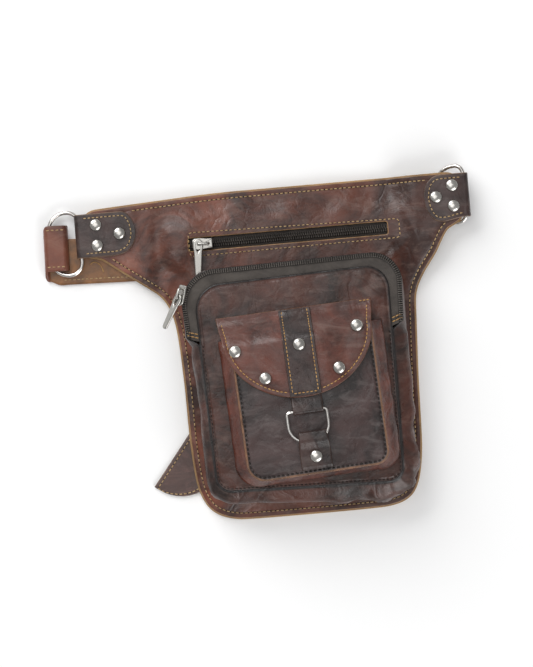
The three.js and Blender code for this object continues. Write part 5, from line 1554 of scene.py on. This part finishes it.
@dataclass
class Straps:
    """Belt straps: both lie behind the bag on the table."""

    form: Form = FORM
    left_length: float = 140.0
    left_turn: float = math.radians(-2)
    left_drop: float = 11.0
    loop_width: float = 27.0
    tip_turn: float = math.radians(231.4)

    def build(self) -> None:
        """Makes both straps, the buckle and the threads."""
        self.left()
        self.buckle()
        self.right()

    def loop_points(self, at: np.ndarray, heading: float, reach: float, lap: float, room: float) -> np.ndarray:
        """Upper end, fold about the ring and start of the run."""
        f = self.form
        table = f.strap / 2
        fold = (f.ring_wire + room) / 2 + f.clearance + f.strap / 2
        level = table + fold
        top = level + fold
        rows = [(lap, table + f.strap + f.clearance), (lap - 0.7, mix(table + f.strap, top, 0.5)), (lap - 2.2, top - 0.4),
                (lap - 4.5, top), (-reach, top)]
        turn = math.pi / 2 + np.linspace(0, math.pi, 9)[1:]
        rows += [(-reach + fold * math.cos(a), level + fold * math.sin(a)) for a in turn]
        rows = np.array(rows)
        along = np.array([math.cos(heading), math.sin(heading)])
        return np.column_stack([at + rows[:, :1] * along, rows[:, 1]])

    def left_run(self, distance: np.ndarray) -> np.ndarray:
        """Centre line of the left strap's run behind its loop."""
        f = self.form
        distance = np.atleast_1d(np.asarray(distance, float))
        slide = self.left_drop * smooth(-40, -6, distance)
        return np.column_stack([
            f.left_bar - f.ring_reach + 12 + distance * math.cos(self.left_turn),
            f.left_ring_y - f.ring_lift + distance * math.sin(self.left_turn) - slide,
            np.full(len(distance), f.strap / 2)])

    def left(self) -> None:
        """Left strap: loop, fold and a run that ends at the buckle."""
        f = self.form
        at = np.array([f.left_bar - f.ring_reach + 12, f.left_ring_y - f.ring_lift])
        loop = self.loop_points(at, self.left_turn, 12, 2, f.left_loop_room)
        loop[:, 1] -= self.left_drop * 0.75 * smooth(8.5, 1.5, loop[:, 2]) * (loop[:, 0] < at[0] - 8)
        run = self.left_run(np.array([-0.04, 0.01, 0.06, 0.12, 0.2, 0.5, 0.94]) * self.left_length)
        centre = catmull(np.vstack([loop, run]), 5)
        side = np.broadcast_to(np.array([-math.sin(self.left_turn), math.cos(self.left_turn), 0]), centre.shape)
        half = np.full(len(centre), f.strap_width / 2)
        shell = ribbon(centre, side, half, f.strap)
        inside = shell.points[:, 2] < f.strap + 0.3
        shell.mask = np.where(inside & (shell.points[:, 0] > at[0] - 14), 1.0, 0.0)
        piece("LeftStrap", shell, STRAP, ["left_strap"])
        rows = []
        for sign in (-1, 1):
            edge = centre[: 5 * len(loop)] + side[: 5 * len(loop)] * sign * (f.strap_width / 2 - 3.6)
            top = edge[(edge[:, 2] > 7.4)]
            rows.append(stitch_row(top + [0, 0, f.strap / 2 - 0.1], Z_UP, pitch=3.4))
        distance = np.linspace(-3, 60, 60)
        run = self.left_run(distance)
        low = run + np.array([-math.sin(self.left_turn), math.cos(self.left_turn), 0]) * -(f.strap_width / 2 - 4.0)
        rows.append(stitch_row(low + [0, 0, f.strap / 2 - 0.1], Z_UP, pitch=3.4))
        piece("LeftStrapStitches", joined(rows), TAN_THREAD)
        bends = np.array([(-162.5, 83.2, 0.2), (-159.5, 84.6, 0.5), (-156.0, 83.0, 0.9), (-153.6, 79.6, 0.8),
                          (-152.6, 75.8, 0.3)]) + [0, 0, f.strap]
        piece("StrayThread", tube(catmull(bends, 12), 0.34, Z_UP, closed=False, sides=8), OCHRE)

    def buckle(self) -> None:
        """Plain flat frame at the hidden end of the left strap."""
        f = self.form
        along = np.array([math.cos(self.left_turn), math.sin(self.left_turn), 0])
        across = np.array([-along[1], along[0], 0])
        start = self.left_run(0.94 * self.left_length + 0.3 + 1.5)[0]
        corners = rounded_outline(np.array([(0, -23, 3), (26, -23, 3), (26, 23, 3), (0, 23, 3)], float), 8, 12)
        points = start + corners[:, :1] * along + corners[:, 1:] * across
        piece("StrapBuckle", tube(points, 1.1, Z_UP, sides=12), NICKEL, ["strap_buckle"])

    def right(self) -> None:
        """Right strap: from the folded ring behind the bag to its free, rounded tip."""
        f = self.form
        turn = math.radians(200)
        start = f.right_loop
        loop = self.loop_points(start, turn, 16, 8, f.right_loop_room)
        tip = np.array([*f.tip, f.strap / 2])
        length = float(np.linalg.norm(tip - np.array([*start, f.strap / 2])))
        heading = lambda a: np.array([math.cos(a), math.sin(a), 0.0])
        a = np.array([*start, f.strap / 2]) + heading(turn) * 2
        b, c = a + heading(turn) * 0.28 * length, tip - heading(self.tip_turn) * 0.38 * length
        t = np.concatenate([np.linspace(0, 0.88, 60), 1 - np.array([0.1, 0.085, 0.07, 0.055, 0.04, 0.028, 0.018, 0.01,
                                                                    0.005, 0.002, 0])])[:, None]
        run = (1 - t) ** 3 * a + 3 * (1 - t) ** 2 * t * b + 3 * (1 - t) * t * t * c + t ** 3 * tip
        top = catmull(loop, 4)
        centre = np.vstack([top, run])
        along = tangents(centre)
        side = np.stack([-along[:, 1], along[:, 0], np.zeros(len(centre))], axis=1)
        side[: len(top)] = [-math.sin(turn), math.cos(turn), 0]
        side /= np.maximum(np.linalg.norm(side, axis=1, keepdims=True), 1e-9)
        wide = smooth(len(top), len(top) + 20, np.arange(len(centre)))
        half = mix(self.loop_width, f.strap_width, wide) / 2
        left = np.linalg.norm(centre - tip, axis=1)
        reach = 0.85 * f.strap_width
        near = (np.arange(len(centre)) > len(top)) & (left < reach)
        round_end = np.sqrt(np.maximum(0.0, 1 - (1 - left / reach) ** 2))
        left_half = np.where(near, mix(-f.strap_width * 0.42, f.strap_width / 2, round_end), half)
        shift = (left_half - half) / 2
        centre2 = centre + side * shift[:, None]
        half2 = np.maximum((left_half + half) / 2, 0.6)
        piece("RightStrap", ribbon(centre2, side, half2, f.strap), BELT, ["right_strap"])
        tail = np.arange(len(centre)) > len(centre) - 34
        borders = [centre2 + side * (sign * np.maximum(half2 - 3.0, 0.2))[:, None] for sign in (1, -1)]
        line = np.vstack([borders[0][tail][:-1], borders[1][tail][::-1][1:]])
        line = resample(line, 240) + [0, 0, f.strap / 2 - 0.1]
        piece("RightStrapStitches", stitch_row(line, Z_UP, pitch=3.6), TAN_THREAD)
        piece("RightStrapHoleShade", painted_hole_shade(line, Z_UP), DARK_THREAD_AND_HOLE_SHADE)


@dataclass
class Studio:
    """Pale floor, soft lights and the camera at the photo's angle."""

    distance: float = 2.5
    lens: float = 168.7
    aim: tuple = (0.0008, 0.0117)

    def build(self) -> None:
        """Makes the floor, the lights, the world and the camera."""
        bpy.ops.mesh.primitive_plane_add(size=6.0, location=(0, 0, -0.0002))
        floor = bpy.context.object
        floor.name = "Floor"
        paint = bpy.data.materials.new("floor")
        paint.use_nodes = True
        shader = paint.node_tree.nodes["Principled BSDF"]
        shader.inputs["Base Color"].default_value = (0.9, 0.9, 0.9, 1)
        shader.inputs["Roughness"].default_value = 0.9
        floor.data.materials.append(paint)
        for name, place, size, power in (
                ("Key", (-0.9, 1.4, 1.15), 1.5, 35.0), ("Fill", (0.8, -1.5, 1.0), 1.4, 24.0),
                ("Top", (-0.3, 0.3, 2.2), 1.3, 8.0)):
            lamp = bpy.data.lights.new(name, "AREA")
            lamp.size = size
            lamp.energy = power
            made = bpy.data.objects.new(name, lamp)
            made.location = place
            away = -np.array(place)
            made.rotation_euler = (math.atan2(math.hypot(away[0], away[1]), -away[2]), 0,
                                   math.atan2(away[1], away[0]) - math.pi / 2)
            bpy.context.scene.collection.objects.link(made)
        world = bpy.data.worlds.new("Studio")
        world.use_nodes = True
        world.node_tree.nodes["Background"].inputs["Color"].default_value = (1, 1, 1, 1)
        world.node_tree.nodes["Background"].inputs["Strength"].default_value = 0.33
        bpy.context.scene.world = world
        camera = bpy.data.cameras.new("Camera")
        camera.lens = self.lens
        made = bpy.data.objects.new("Camera", camera)
        made.location = (*self.aim, self.distance)
        made.rotation_euler = (0, 0, math.radians(-5))
        bpy.context.scene.collection.objects.link(made)
        bpy.context.scene.camera = made
        bpy.context.scene.view_settings.view_transform = "Standard"


def main() -> None:
    """Builds the bag's pieces in order, then the studio."""
    logging.basicConfig(level=logging.INFO, format="%(message)s")
    Panels().build()
    TopZip().build()
    Pouch().build()
    Pocket().build()
    Ends().build()
    Straps().build()
    Studio().build()


if __name__ == "__main__":
    main()
